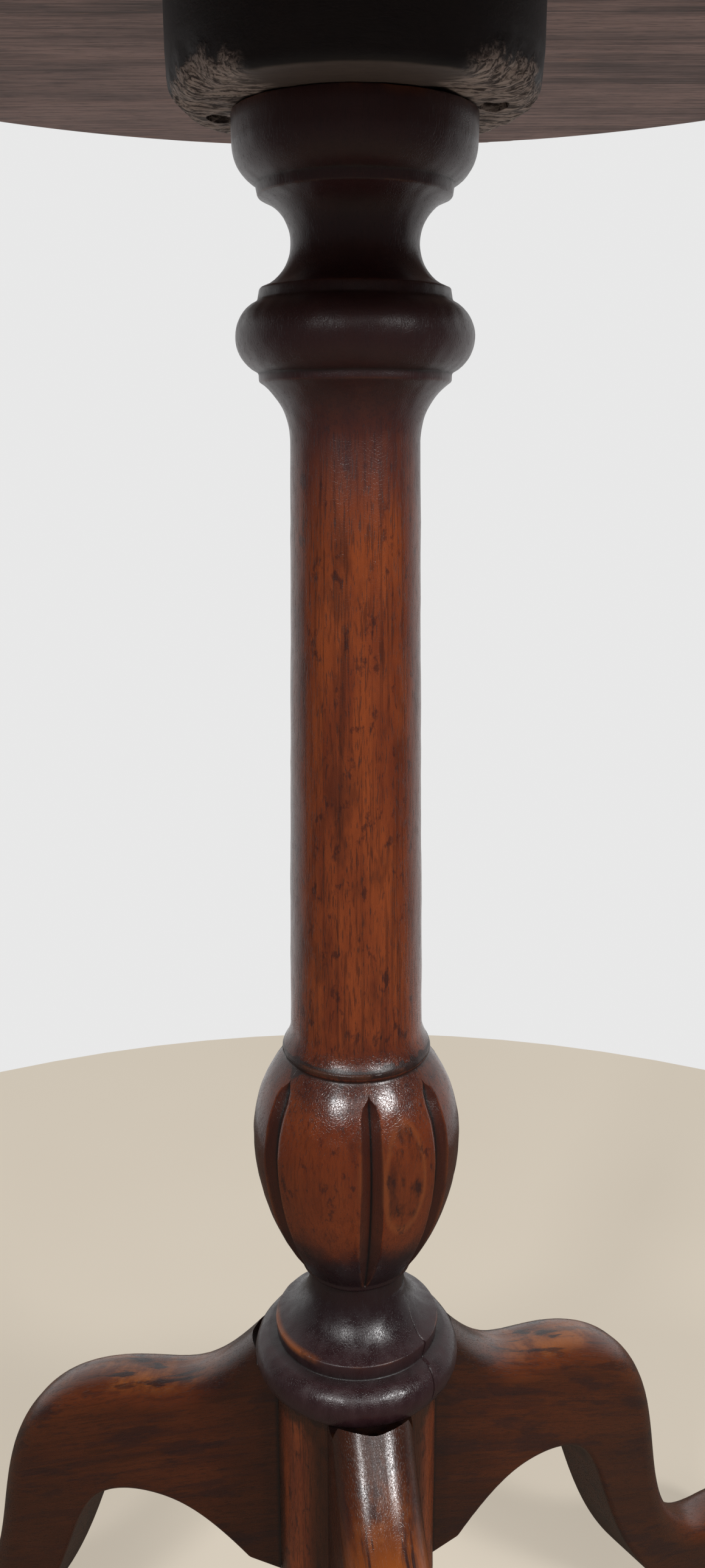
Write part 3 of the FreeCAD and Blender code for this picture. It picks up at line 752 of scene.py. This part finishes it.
def cut_away(shape, cutter):
    """The bmesh less a cutter, by a boolean that is applied at once."""
    pair = []
    for name, source in (("stock", shape), ("cutter", cutter)):
        mesh = bpy.data.meshes.new(name)
        source.to_mesh(mesh)
        source.free()
        pair.append(bpy.data.objects.new(name, mesh))
        scene.collection.objects.link(pair[-1])
    stock, tool = pair
    boolean = stock.modifiers.new("cut", "BOOLEAN")
    boolean.operation, boolean.solver, boolean.object = "DIFFERENCE", "EXACT", tool
    bpy.context.view_layer.update()
    cut = stock.evaluated_get(bpy.context.evaluated_depsgraph_get())
    result = bmesh.new()
    result.from_mesh(cut.to_mesh())
    cut.to_mesh_clear()
    for item in pair:
        bpy.data.objects.remove(item)
    return result


block = cut_away(block, pocket_cutter())
keep_hollows(block)
block_piece = finish_mesh(block, "bearer_block_torn", "block_wood", "bearer_block")

# %% [markdown]
# ## Screws
# Two slotted iron screws sit deep in the block. Only their heads can be seen, up the pockets. The head
# is a disc parted by two planes, with the strip between them pushed in as the slot. The thread is a
# small triangle spun upwards as it turns.

# %% Slotted screws
HEAD_SEGMENTS = 36
HEAD_RADIUS = 3.2 * MM
HEAD_HEIGHT = 2.6 * MM
SLOT_WIDTH = 0.9 * MM
SLOT_DEPTH = 1.1 * MM
SHANK_RADIUS = 1.35 * MM
POINT_LENGTH = 4 * MM
THREAD_ROOT_RADIUS = SHANK_RADIUS * 0.9
THREAD_RADIUS = 1.88 * MM
THREAD_FROM = 0.45
THREAD_PITCH = 1.6 * MM
THREAD_STEPS = 20
SLOT_TURNS = (0.6, -0.35)


def moved_up(shape, made, lift):
    """Lift the vertices that an extrusion has made."""
    verts = [item for item in made["geom"] if isinstance(item, bmesh.types.BMVert)]
    bmesh.ops.translate(shape, verts=verts, vec=(0, 0, lift))


def slotted_head(shape):
    """Disc parted by two planes and thickened, with the strip between the planes pushed in."""
    bmesh.ops.create_circle(shape, cap_ends=True, segments=HEAD_SEGMENTS, radius=HEAD_RADIUS)
    for side in (-1, 1):
        bmesh.ops.bisect_plane(
            shape, geom=shape.verts[:] + shape.edges[:] + shape.faces[:], dist=MERGE,
            plane_co=(0, side * SLOT_WIDTH / 2, 0), plane_no=(0, 1, 0),
        )
    head_face = shape.faces[:]
    moved_up(shape, bmesh.ops.extrude_face_region(shape, geom=head_face, use_keep_orig=True), HEAD_HEIGHT)
    strip = [face for face in head_face if abs(face.calc_center_median().y) < SLOT_WIDTH / 2]
    moved_up(shape, bmesh.ops.extrude_face_region(shape, geom=strip), SLOT_DEPTH)
    bmesh.ops.delete(shape, geom=strip, context="FACES_ONLY")


def make_screw(node, slot_turn):
    """Slotted wood screw, head down, in the place of a solid one."""
    low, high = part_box(node)
    shape = bmesh.new()
    slotted_head(shape)
    length = high.z - low.z - HEAD_HEIGHT
    straight = length - POINT_LENGTH
    for lift, depth, tip in (
        (HEAD_HEIGHT, straight, SHANK_RADIUS), (HEAD_HEIGHT + straight, POINT_LENGTH, 0),
    ):
        bmesh.ops.create_cone(
            shape, cap_ends=True, segments=HEAD_SEGMENTS, radius1=SHANK_RADIUS, radius2=tip, depth=depth,
            matrix=Matrix.Translation((0, 0, lift + depth / 2)),
        )
    add_thread(shape, HEAD_HEIGHT + length * THREAD_FROM, length * (1 - THREAD_FROM) - POINT_LENGTH)
    bmesh.ops.recalc_face_normals(shape, faces=shape.faces[:])
    x, y = screw_axis(node)
    place = Matrix.Translation((x, y, low.z)) @ Matrix.Rotation(slot_turn, 4, "Z")
    bmesh.ops.transform(shape, verts=shape.verts[:], matrix=place)
    return shape


def add_thread(shape, start, run):
    """Closed ridge that climbs round the shank."""
    corners = ((THREAD_ROOT_RADIUS, 0), (THREAD_RADIUS, 0.25), (THREAD_ROOT_RADIUS, 0.5))
    points = [shape.verts.new((out, 0, start + up * THREAD_PITCH)) for out, up in corners]
    section = shape.faces.new(points)
    turns = run / THREAD_PITCH
    bmesh.ops.spin(
        shape, geom=[section], cent=(0, 0, 0), axis=(0, 0, 1), angle=FULL_TURN * turns,
        dvec=(0, 0, THREAD_PITCH / THREAD_STEPS), steps=round(turns * THREAD_STEPS),
        use_merge=False, use_duplicate=False,
    )


screw_pieces = []
for node, turn in zip(SCREW_NODES, SLOT_TURNS):
    screw = make_screw(node, turn)
    screw_pieces.append(finish_mesh(screw, node + "_slotted", "screw_steel", node))

# %% [markdown]
# ## Polish on mahogany
# One recipe serves the pillar, the legs and the upper face of the top. Mahogany shows a slow change of
# tone, long thin lines, short dark dashes and fine pores. All four are the same noise at other scales,
# drawn out along the wood's own axis by squeezing the coordinates. A picture of wood would be quicker,
# but it would not follow turned forms.

# %% Mahogany recipe
RED_BROWN = (0.128, 0.025, 0.0085, 1)
ORANGE_BROWN = (0.215, 0.046, 0.012, 1)
DARK_BROWN = (0.042, 0.011, 0.006, 1)
PORE_BROWN = (0.012, 0.006, 0.005, 1)
PATINA = (0.0135, 0.006, 0.0075, 1)
# Dirt and painted shade, for hollows, flute roots and the gap beside the drum.
GRIME_AND_SHADE = (0.006, 0.004, 0.004, 1)
SHADE_BROWN = (0.022, 0.009, 0.0055, 1)
HEAD_BROWN = (0.040, 0.0155, 0.0175, 1)
RUBBED = (0.24, 0.068, 0.018, 1)
ALONG_X, ALONG_Z = 0, 2
CRAZING_CELLS = 1300.0
POLISH_RELIEF = 0.12 * MM


def along_grain(paint, place, axis, length):
    """Coordinates in which a pattern comes out that many times longer along one axis."""
    scale = [1.0, 1.0, 1.0]
    scale[axis] = 1 / length
    return paint.stretch(place, scale)


def mahogany(paint, place, axis):
    """Bare colour of the wood, its pores and its slow change of tone."""
    tone = paint.noise(along_grain(paint, place, axis, 6), 150.0, 4.0, 0.6)
    lines = paint.noise(along_grain(paint, place, axis, 70), 900.0, 2.0, 0.6)
    pores = paint.noise(along_grain(paint, place, axis, 13), 3500.0, 1.0, 0.5).over(0.58, 0.70)
    colour = paint.mix(tone.over(0.32, 0.68), RED_BROWN, ORANGE_BROWN)
    colour = paint.mix(lines.over(0.5, 0.72) * 0.5, colour, DARK_BROWN)
    colour = paint.mix(pores * 0.6, colour, PORE_BROWN)
    dashes = paint.noise(along_grain(paint, place, axis, 14), 1500.0, 2.0, 0.55).over(0.56, 0.66)
    colour = paint.mix(dashes * 0.55, colour, DARK_BROWN)
    return colour, pores, tone


def crazing(paint, place):
    """Fine network of cracks in old polish, 1 on the lines."""
    warped = paint.noise(place, CRAZING_CELLS * 0.4, 2.0)
    shift = {0: warped, 1: (1.2 / CRAZING_CELLS,) * 3, 2: place}
    spot = paint.add("VectorMath", {"operation": "MULTIPLY_ADD"}, shift)
    cells = {"Vector": spot, "Scale": CRAZING_CELLS}
    gap = paint.add("TexVoronoi", {"feature": "DISTANCE_TO_EDGE"}, cells, output="Distance")
    return 1 - gap.over(0.0, 0.12)


# %% [markdown]
# ## Finish of the pillar
# Along the shaft the polish has worn thin and shows warm red wood. The base rings and the members under
# the top stayed almost black. The lobes of the bulb are rubbed orange, the flutes are drawn darker, and
# one lobe has an oval where the polish was scraped. Zones follow the height, so smooth steps on Z put
# them in place, with noise to break their edges. The flutes come from attributes that the carving left.
# Shade is painted on the left and right sides of the shaft and the bulb, on the drum under the base ring
# and beside the legs, and, with dirt, in the hollows.

# %% Pillar finish
LOBE_ORANGE = (0.100, 0.018, 0.005, 1)
FLUTE_BROWN = (0.030, 0.0075, 0.005, 1)
LEG_TURNS = {"leg_right": 35.5, "leg_left": 158.0, "leg_front": 279.2}
LEG_HALF_THICKNESS = 12.0
COLLAR_RADIUS, COLLAR_WORN_RADIUS = 24.5, 22.8
OVAL_TURN = math.radians(27)
OVAL_LEVEL, OVAL_HALF_WIDTH, OVAL_HALF_HEIGHT = 279.0, 6.4, 17.0


def dark_zones(wander):
    """How far the dark patina covers the foot, the bulb's shoulder and the head at a height."""
    foot = wander.over(LEVEL["base_ring"] - 3, LEVEL["base_ring"])
    foot = foot * (1 - wander.over(BULB_LOW + 6, BULB_LOW + 28))
    shoulder = wander.over(BULB_HIGH - 16, BULB_HIGH - 2)
    shoulder = shoulder * (1 - wander.over(BULB_HIGH + 2, BULB_HIGH + 16))
    head = wander.over(LEVEL["cavetto"] - 30, LEVEL["ring"] + 2)
    return foot * 0.95, shoulder * 0.58, head * 0.95


def worn_collar(across, deep, height, cloud):
    """1 along the collar's upper edge on the left, where the polish is rubbed through."""
    left = (1 - across.over(-15.0, -9.0)) * (1 - deep.over(-3.0, 4.0))
    at_rim = (across ** 2 + deep ** 2).over(COLLAR_WORN_RADIUS ** 2, COLLAR_RADIUS ** 2)
    return height.within(LEVEL["bell"], 2.2) * at_rim * left * cloud.over(0.3, 0.5)


def scraped_oval(across, deep, height, cloud):
    """Rim and inside of the oval mark on the lobe right of the front flute."""
    side = across * math.cos(OVAL_TURN) + deep * math.sin(OVAL_TURN)
    out = across * math.sin(OVAL_TURN) - deep * math.cos(OVAL_TURN)
    reach = (side / OVAL_HALF_WIDTH) ** 2 + ((height - OVAL_LEVEL) / OVAL_HALF_HEIGHT) ** 2
    reach = reach + (cloud - 0.5) * 0.5
    front = out.over(0.0, 5.0)
    return reach.within(0.92, 0.34) * front, (1 - reach.over(0.7, 0.95)) * front


def shade_beside_legs(across, deep):
    """Painted shade: 1 on the drum where a leg stands, falling off to either side of it."""
    marks = []
    for turn in LEG_TURNS.values():
        turn = math.radians(turn)
        ahead = across * math.cos(turn) + deep * math.sin(turn)
        side = abs(across * math.sin(turn) - deep * math.cos(turn))
        near = 1 - side.over(LEG_HALF_THICKNESS + 2, LEG_HALF_THICKNESS + 9)
        marks.append(near * ahead.over(0.0, 6.0))
    return marks[0] + marks[1] + marks[2]


def pillar_finish():
    paint = new_finish("pillar_polish")
    place = paint.add("TexCoord", output="Object")
    across, deep, height = (paint.part(place, axis) / MM for axis in "XYZ")
    colour, pores, tone = mahogany(paint, place, ALONG_Z)
    cloud = paint.noise(place, 90.0, 4.0, 0.6)
    spots = paint.noise(along_grain(paint, place, ALONG_Z, 2), 330.0, 4.0, 0.65)
    blotches = paint.noise(along_grain(paint, place, ALONG_Z, 3), 120.0, 4.0, 0.6).over(0.52, 0.68)
    wander = height + (cloud - 0.5) * 18
    lobes = height.over(BULB_LOW + 2, BULB_LOW + 14) * (1 - wander.over(BULB_HIGH - 18, BULB_HIGH - 4))
    colour = paint.mix(lobes * (0.5 + 0.35 * cloud), colour, LOBE_ORANGE)
    rim, inside = scraped_oval(across, deep, height, cloud)
    shaded_sides = abs(across).over(19.0, 28.0)
    colour = paint.mix(inside * 0.05, colour, RUBBED)
    colour = paint.mix(inside * spots.over(0.42, 0.62) * 0.75, colour, DARK_BROWN)
    colour = paint.mix(rim * (1 - shaded_sides) * 0.35, colour, RUBBED)
    colour = paint.mix(blotches * 0.5, colour, DARK_BROWN)
    colour = paint.mix(spots.over(0.57, 0.68) * 0.6, colour, PATINA)
    # Shade is painted on the bulb's left and right sides.
    colour = paint.mix(shaded_sides * lobes * 0.6, colour, PATINA)
    on_shaft = height.over(BULB_HIGH, BULB_HIGH + 40)
    # Shade is painted on the shaft's left and right sides too.
    colour = paint.mix(abs(across).over(8.0, 19.0) * on_shaft * 0.6, colour, DARK_BROWN)
    foot, shoulder, head = dark_zones(wander)
    colour = paint.mix((foot + shoulder).over(0.0, 1.0), colour, PATINA)
    colour = paint.mix(head, colour, HEAD_BROWN)
    chips = paint.noise(along_grain(paint, place, ALONG_Z, 2), 300.0, 3.0, 0.6)
    below_bell = 1 - height.over(LEVEL["bell"], LEVEL["bell"] + 5)
    colour = paint.mix(foot * below_bell * chips, colour, HEAD_BROWN)
    colour = paint.mix(worn_collar(across, deep, height, cloud) * 0.85, colour, RUBBED)
    flute = paint.attribute("flute")
    colour = paint.mix(flute.over(0.0, 0.08) * 0.8, colour, FLUTE_BROWN)
    lip = paint.attribute("lip").over(0.4, 1.0)
    colour = paint.mix(lip * lobes * cloud.over(0.4, 0.6) * 0.2, colour, RUBBED)
    hollow = paint.attribute("hollow").over(0.02, 0.35)
    edge = paint.attribute("edge").over(0.12, 0.5) * cloud.over(0.42, 0.62)
    on_drum = 1 - height.over(LEVEL["base_ring"], LEVEL["base_ring"] + 3)
    # Shade is painted on the drum under the base ring and beside the legs.
    under_ring = wander.over(LEVEL["base_ring"] - 12, LEVEL["base_ring"] - 3)
    drum_shade = (shade_beside_legs(across, deep) + under_ring).over(0.0, 1.0) * on_drum
    colour = paint.mix(drum_shade * 0.85, colour, SHADE_BROWN)
    # Dirt and painted shade darken the hollows and the roots of the flutes.
    colour = paint.mix((hollow + flute.over(0.8, 1.0)) * 0.8, colour, GRIME_AND_SHADE)
    colour = paint.mix(edge * (1 - shoulder) * 0.4, colour, RUBBED)
    lines = crazing(paint, place)
    roughness = 0.16 + 0.12 * cloud + 0.15 * pores + 0.15 * hollow + 0.1 * flute + 0.13 * head
    roughness = roughness + 0.2 * chips.over(0.3, 0.7) * foot
    bumps = 0.2 * pores + 0.09 * lines + 0.3 * cloud + 0.2 * tone + 0.5 * chips * foot
    return paint.surface(colour, roughness, 1 - bumps, POLISH_RELIEF)


pillar_piece.data.materials.append(pillar_finish())
print("pillar polished")

# %% [markdown]
# ## Finish of the legs
# A leg is sawn from a plank so that the grain falls from the drum to the foot, because a leg cut across
# the grain would snap. Each leg therefore turns the pattern to its own direction and tilts it. The flanks
# stay dark, knees are rubbed by shoes and dusters and show orange wood. How far a surface faces up or
# down tells the crown and the bare underside from the flanks.

# %% Leg finish
LEG_GRAIN_FALL = math.radians(27)
KNEE_HEIGHT = 172.0
KNEE_SPAN = 42.0
FLANK_BROWN = (0.024, 0.0055, 0.0022, 1)
KNEE_ORANGE = (0.30, 0.090, 0.018, 1)
AMBER = (0.27, 0.068, 0.012, 1)
LEG_WARMTH = {"leg_right": 0.12, "leg_left": 0.08, "leg_front": 0.9}
UNDERSIDE_WOOD = (0.088, 0.056, 0.036, 1)


def leg_finish(name, turn, warmth):
    """Polish of one leg; warmth says how far its crown is rubbed to amber."""
    paint = new_finish(name + "_polish")
    place = paint.add("TexCoord", output="Object")
    across, deep, height = (paint.part(place, axis) / MM for axis in "XYZ")
    plank = paint.turned(paint.turned(place, z=-turn), y=-LEG_GRAIN_FALL)
    colour, pores, tone = mahogany(paint, plank, ALONG_X)
    facing = paint.part(paint.add("NewGeometry", output="Normal"), "Z")
    crown = facing.over(0.05, 0.6)
    under = 1 - facing.over(-0.75, -0.35)
    cloud = paint.noise(place, 60.0, 5.0, 0.65)
    colour = paint.mix(0.78 - 0.22 * crown, colour, FLANK_BROWN)
    out = (across ** 2 + deep ** 2) ** 0.5
    upward = facing.over(-0.15, 0.25)
    wander = out + (cloud - 0.5) * 12
    colour = paint.mix(upward * wander.over(44.0, 59.0) * warmth, colour, AMBER)
    # Shade is painted on the leg's top end next to the drum, under the base ring. The flanks are also
    # darker towards the bottom.
    top_end_shade = upward * (1 - wander.over(34.0, 54.0))
    low_flank = (1 - crown) * (1 - (height + (cloud - 0.5) * 30).over(95.0, 160.0))
    colour = paint.mix(top_end_shade * 0.7 + low_flank * 0.55, colour, SHADE_BROWN)
    knee = (height + (cloud - 0.5) * 50).within(KNEE_HEIGHT, KNEE_SPAN) * facing.over(0.5, 0.88)
    colour = paint.mix(knee * cloud.over(0.4, 0.62) * 0.85, colour, KNEE_ORANGE)
    colour = paint.mix(under * (0.55 + 0.4 * cloud), colour, UNDERSIDE_WOOD)
    streaks = paint.noise(along_grain(paint, plank, ALONG_X, 16), 330.0, 3.0, 0.6)
    colour = paint.mix(streaks.over(0.52, 0.62) * (0.3 + 0.6 * knee), colour, PATINA)
    bands = paint.noise(along_grain(paint, plank, ALONG_X, 6), 140.0, 4.0, 0.65)
    colour = paint.mix(bands.over(0.52, 0.62) * (0.55 - 0.25 * warmth), colour, PATINA)
    spots = paint.noise(along_grain(paint, plank, ALONG_X, 3), 150.0, 3.0, 0.6)
    colour = paint.mix(spots.over(0.6, 0.7) * crown * 0.4, colour, PATINA)
    # Shade is painted on the upward faces in the gap beside the drum, and the joint with the drum is dark.
    colour = paint.mix(upward * (1 - out.over(DRUM_RADIUS + 3, DRUM_RADIUS + 8)) * 0.85, colour, GRIME_AND_SHADE)
    colour = paint.mix((1 - out.over(DRUM_RADIUS, DRUM_RADIUS + 1.6)) * 0.9, colour, GRIME_AND_SHADE)
    lines = crazing(paint, place)
    roughness = 0.18 + 0.12 * cloud + 0.15 * pores + 0.3 * under
    bumps = 0.2 * pores + 0.07 * lines + 0.3 * cloud
    return paint.surface(colour, roughness, 1 - bumps, POLISH_RELIEF)


for leg, turn in LEG_TURNS.items():
    warmth = LEG_WARMTH[leg]
    nodes[leg].material_slots[0].material = leg_finish(leg, math.radians(turn), warmth)
print("legs:", sorted(LEG_TURNS))

# %% [markdown]
# ## Finish of the top
# Underneath, the boards were never polished: the plane left bare wood, which has gone grey. The upper
# face and the rim have the same old polish as the pillar. The height of a point tells which it is.

# %% Board finish
BARE_GREY = (0.30, 0.19, 0.172, 1)
BARE_BROWN = (0.085, 0.048, 0.042, 1)
BARE_DARK = (0.022, 0.013, 0.013, 1)
BARE_RED = (0.30, 0.155, 0.11, 1)
SEAM_WIDTH = 0.5 * MM
BOARD_RELIEF = 0.25 * MM
# How far the grain is shifted and how grey the underside is, board by board.
BOARDS = {
    "top_board_front": (0.0, 0.0), "top_board_middle": (0.37, -0.03), "top_board_back": (0.74, 0.05),
}
TOP_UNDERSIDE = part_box("top_board_middle")[0].z


def glue_line(deep, board):
    """1 along the straight edges of a board, where the glue has gone dark."""
    low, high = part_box(board)
    return 1 - (deep - low.y).over(0.0, SEAM_WIDTH) * (high.y - deep).over(0.0, SEAM_WIDTH)


def board_finish(board, shift, grey):
    """Finish of one board; shift moves its grain and grey says how bleached its underside is."""
    paint = new_finish(board + "_wood")
    place = paint.add("TexCoord", output="Object")
    moved = paint.add("Mapping", None, {"Vector": place, "Location": (shift, shift, 0)})
    polish, pores, tone = mahogany(paint, paint.stretch(moved, (0.35, 0.7, 1)), ALONG_X)
    grain = paint.stretch(moved, (0.03, 1, 1))
    saw = paint.noise(grain, 420.0, 5.0, 0.75)
    weather = paint.noise(paint.stretch(moved, (0.3, 1, 1)), 40.0, 4.0, 0.6)
    bare = paint.mix((saw * 0.7 + weather * 0.5 + grey).over(0.48, 0.78), BARE_BROWN, BARE_GREY)
    fine = paint.noise(paint.stretch(moved, (0.05, 1, 1)), 2000.0, 3.0, 0.7)
    bare = paint.mix(fine.over(0.52, 0.66) * 0.75, bare, BARE_DARK)
    scuffs = paint.noise(paint.stretch(moved, (0.12, 1, 1)), 260.0, 4.0, 0.7)
    bare = paint.mix(scuffs.over(0.64, 0.7) * 0.6, bare, BARE_RED)
    polished = paint.part(place, "Z").over(TOP_UNDERSIDE + 2 * MM, TOP_UNDERSIDE + 5 * MM)
    colour = paint.mix(polished, bare, polish)
    colour = paint.mix(glue_line(paint.part(place, "Y"), board) * 0.8, colour, BARE_DARK)
    roughness = 0.72 - 0.44 * polished + 0.1 * tone
    bumps = 0.6 * saw * (1 - polished) + 0.3 * pores
    return paint.surface(colour, roughness, bumps, BOARD_RELIEF)


for board, (shift, grey) in BOARDS.items():
    nodes[board].material_slots[0].material = board_finish(board, shift, grey)
print("boards dressed")

# %% [markdown]
# ## Finish of the block, the wedge and the screws
# The block was stained nearly black and only the torn end grain is pale. The wedge in the tenon is bare
# wood, and the screws are dull iron with a little rust.

# %% Block finish
STAIN_BLACK = (0.011, 0.009, 0.011, 1)
STAIN_BROWN = (0.026, 0.018, 0.018, 1)
SAWN_BROWN = (0.12, 0.088, 0.075, 1)
TORN_PALE = (0.40, 0.32, 0.29, 1)
TORN_DARK = (0.05, 0.035, 0.032, 1)
TORN_COLOUR_RADII = (26 * MM, 33 * MM)
BLOCK_RELIEF = 0.5 * MM


def block_finish():
    paint = new_finish("block_stain")
    place = paint.add("TexCoord", output="Object")
    across, deep, up = (paint.part(place, axis) for axis in "XYZ")
    out = (across ** 2 + deep ** 2) ** 0.5
    side = abs(across) / out
    cloud = paint.noise(place, 130.0, 4.0, 0.65)
    level = (up - block_low.z) / MM + (cloud - 0.5) * 14
    torn = side.over(0.42, 0.8) * (1 - level.over(2.5, 7.0)) * out.over(*TORN_COLOUR_RADII)
    sawn = 1 - paint.part(paint.add("NewGeometry", output="Normal"), "Z").over(-0.95, -0.7)
    fibres = paint.noise(paint.stretch(place, (0.2, 1, 1)), 950.0, 4.0, 0.7, 0.6)
    stain = paint.mix(cloud, STAIN_BLACK, STAIN_BROWN)
    stain = paint.mix(sawn * (0.4 + 0.6 * fibres), stain, SAWN_BROWN)
    raw = paint.mix(fibres.over(0.4, 0.6), TORN_DARK, TORN_PALE)
    colour = paint.mix((torn * cloud.over(0.2, 0.45)).over(0.1, 0.6), stain, raw)
    # Shade is painted in the block's hollows with the black stain.
    hollow = paint.attribute("hollow").over(0.1, 0.6)
    colour = paint.mix(hollow * 0.7, colour, STAIN_BLACK)
    return paint.surface(colour, 0.62 + 0.25 * torn, fibres * (0.2 + torn), BLOCK_RELIEF)


block_piece.data.materials.append(block_finish())
print("block stained")

# %% Wedge and screw finish
WEDGE_COLOURS = ((0.22, 0.12, 0.06, 1), (0.36, 0.22, 0.11, 1))
WEDGE_RELIEF = 0.2 * MM
IRON_GREY = (0.16, 0.15, 0.145, 1)
RUST_BROWN = (0.075, 0.035, 0.02, 1)
IRON_RELIEF = 0.06 * MM


def wedge_finish():
    paint = new_finish("bare_wedge")
    place = paint.add("TexCoord", output="Object")
    fibres = paint.noise(paint.stretch(place, (1, 1, 0.05)), 900.0, 3.0, 0.6)
    colour = paint.mix(fibres, *WEDGE_COLOURS)
    return paint.surface(colour, 0.6 + 0.2 * fibres, fibres, WEDGE_RELIEF)


def iron_finish():
    paint = new_finish("old_iron")
    place = paint.add("TexCoord", output="Object")
    rust = paint.noise(place, 900.0, 4.0, 0.65)
    colour = paint.mix(rust.over(0.48, 0.66), IRON_GREY, RUST_BROWN)
    return paint.surface(colour, 0.38 + 0.4 * rust, rust, IRON_RELIEF, Metallic=0.85)


nodes["tenon_wedge"].material_slots[0].material = wedge_finish()
iron = iron_finish()
for piece in screw_pieces:
    piece.data.materials.append(iron)
print("materials:", len(bpy.data.materials))

# %% [markdown]
# ## Last update
# The view layer is updated once more before the scene is closed.

# %% Finish
bpy.context.view_layer.update()
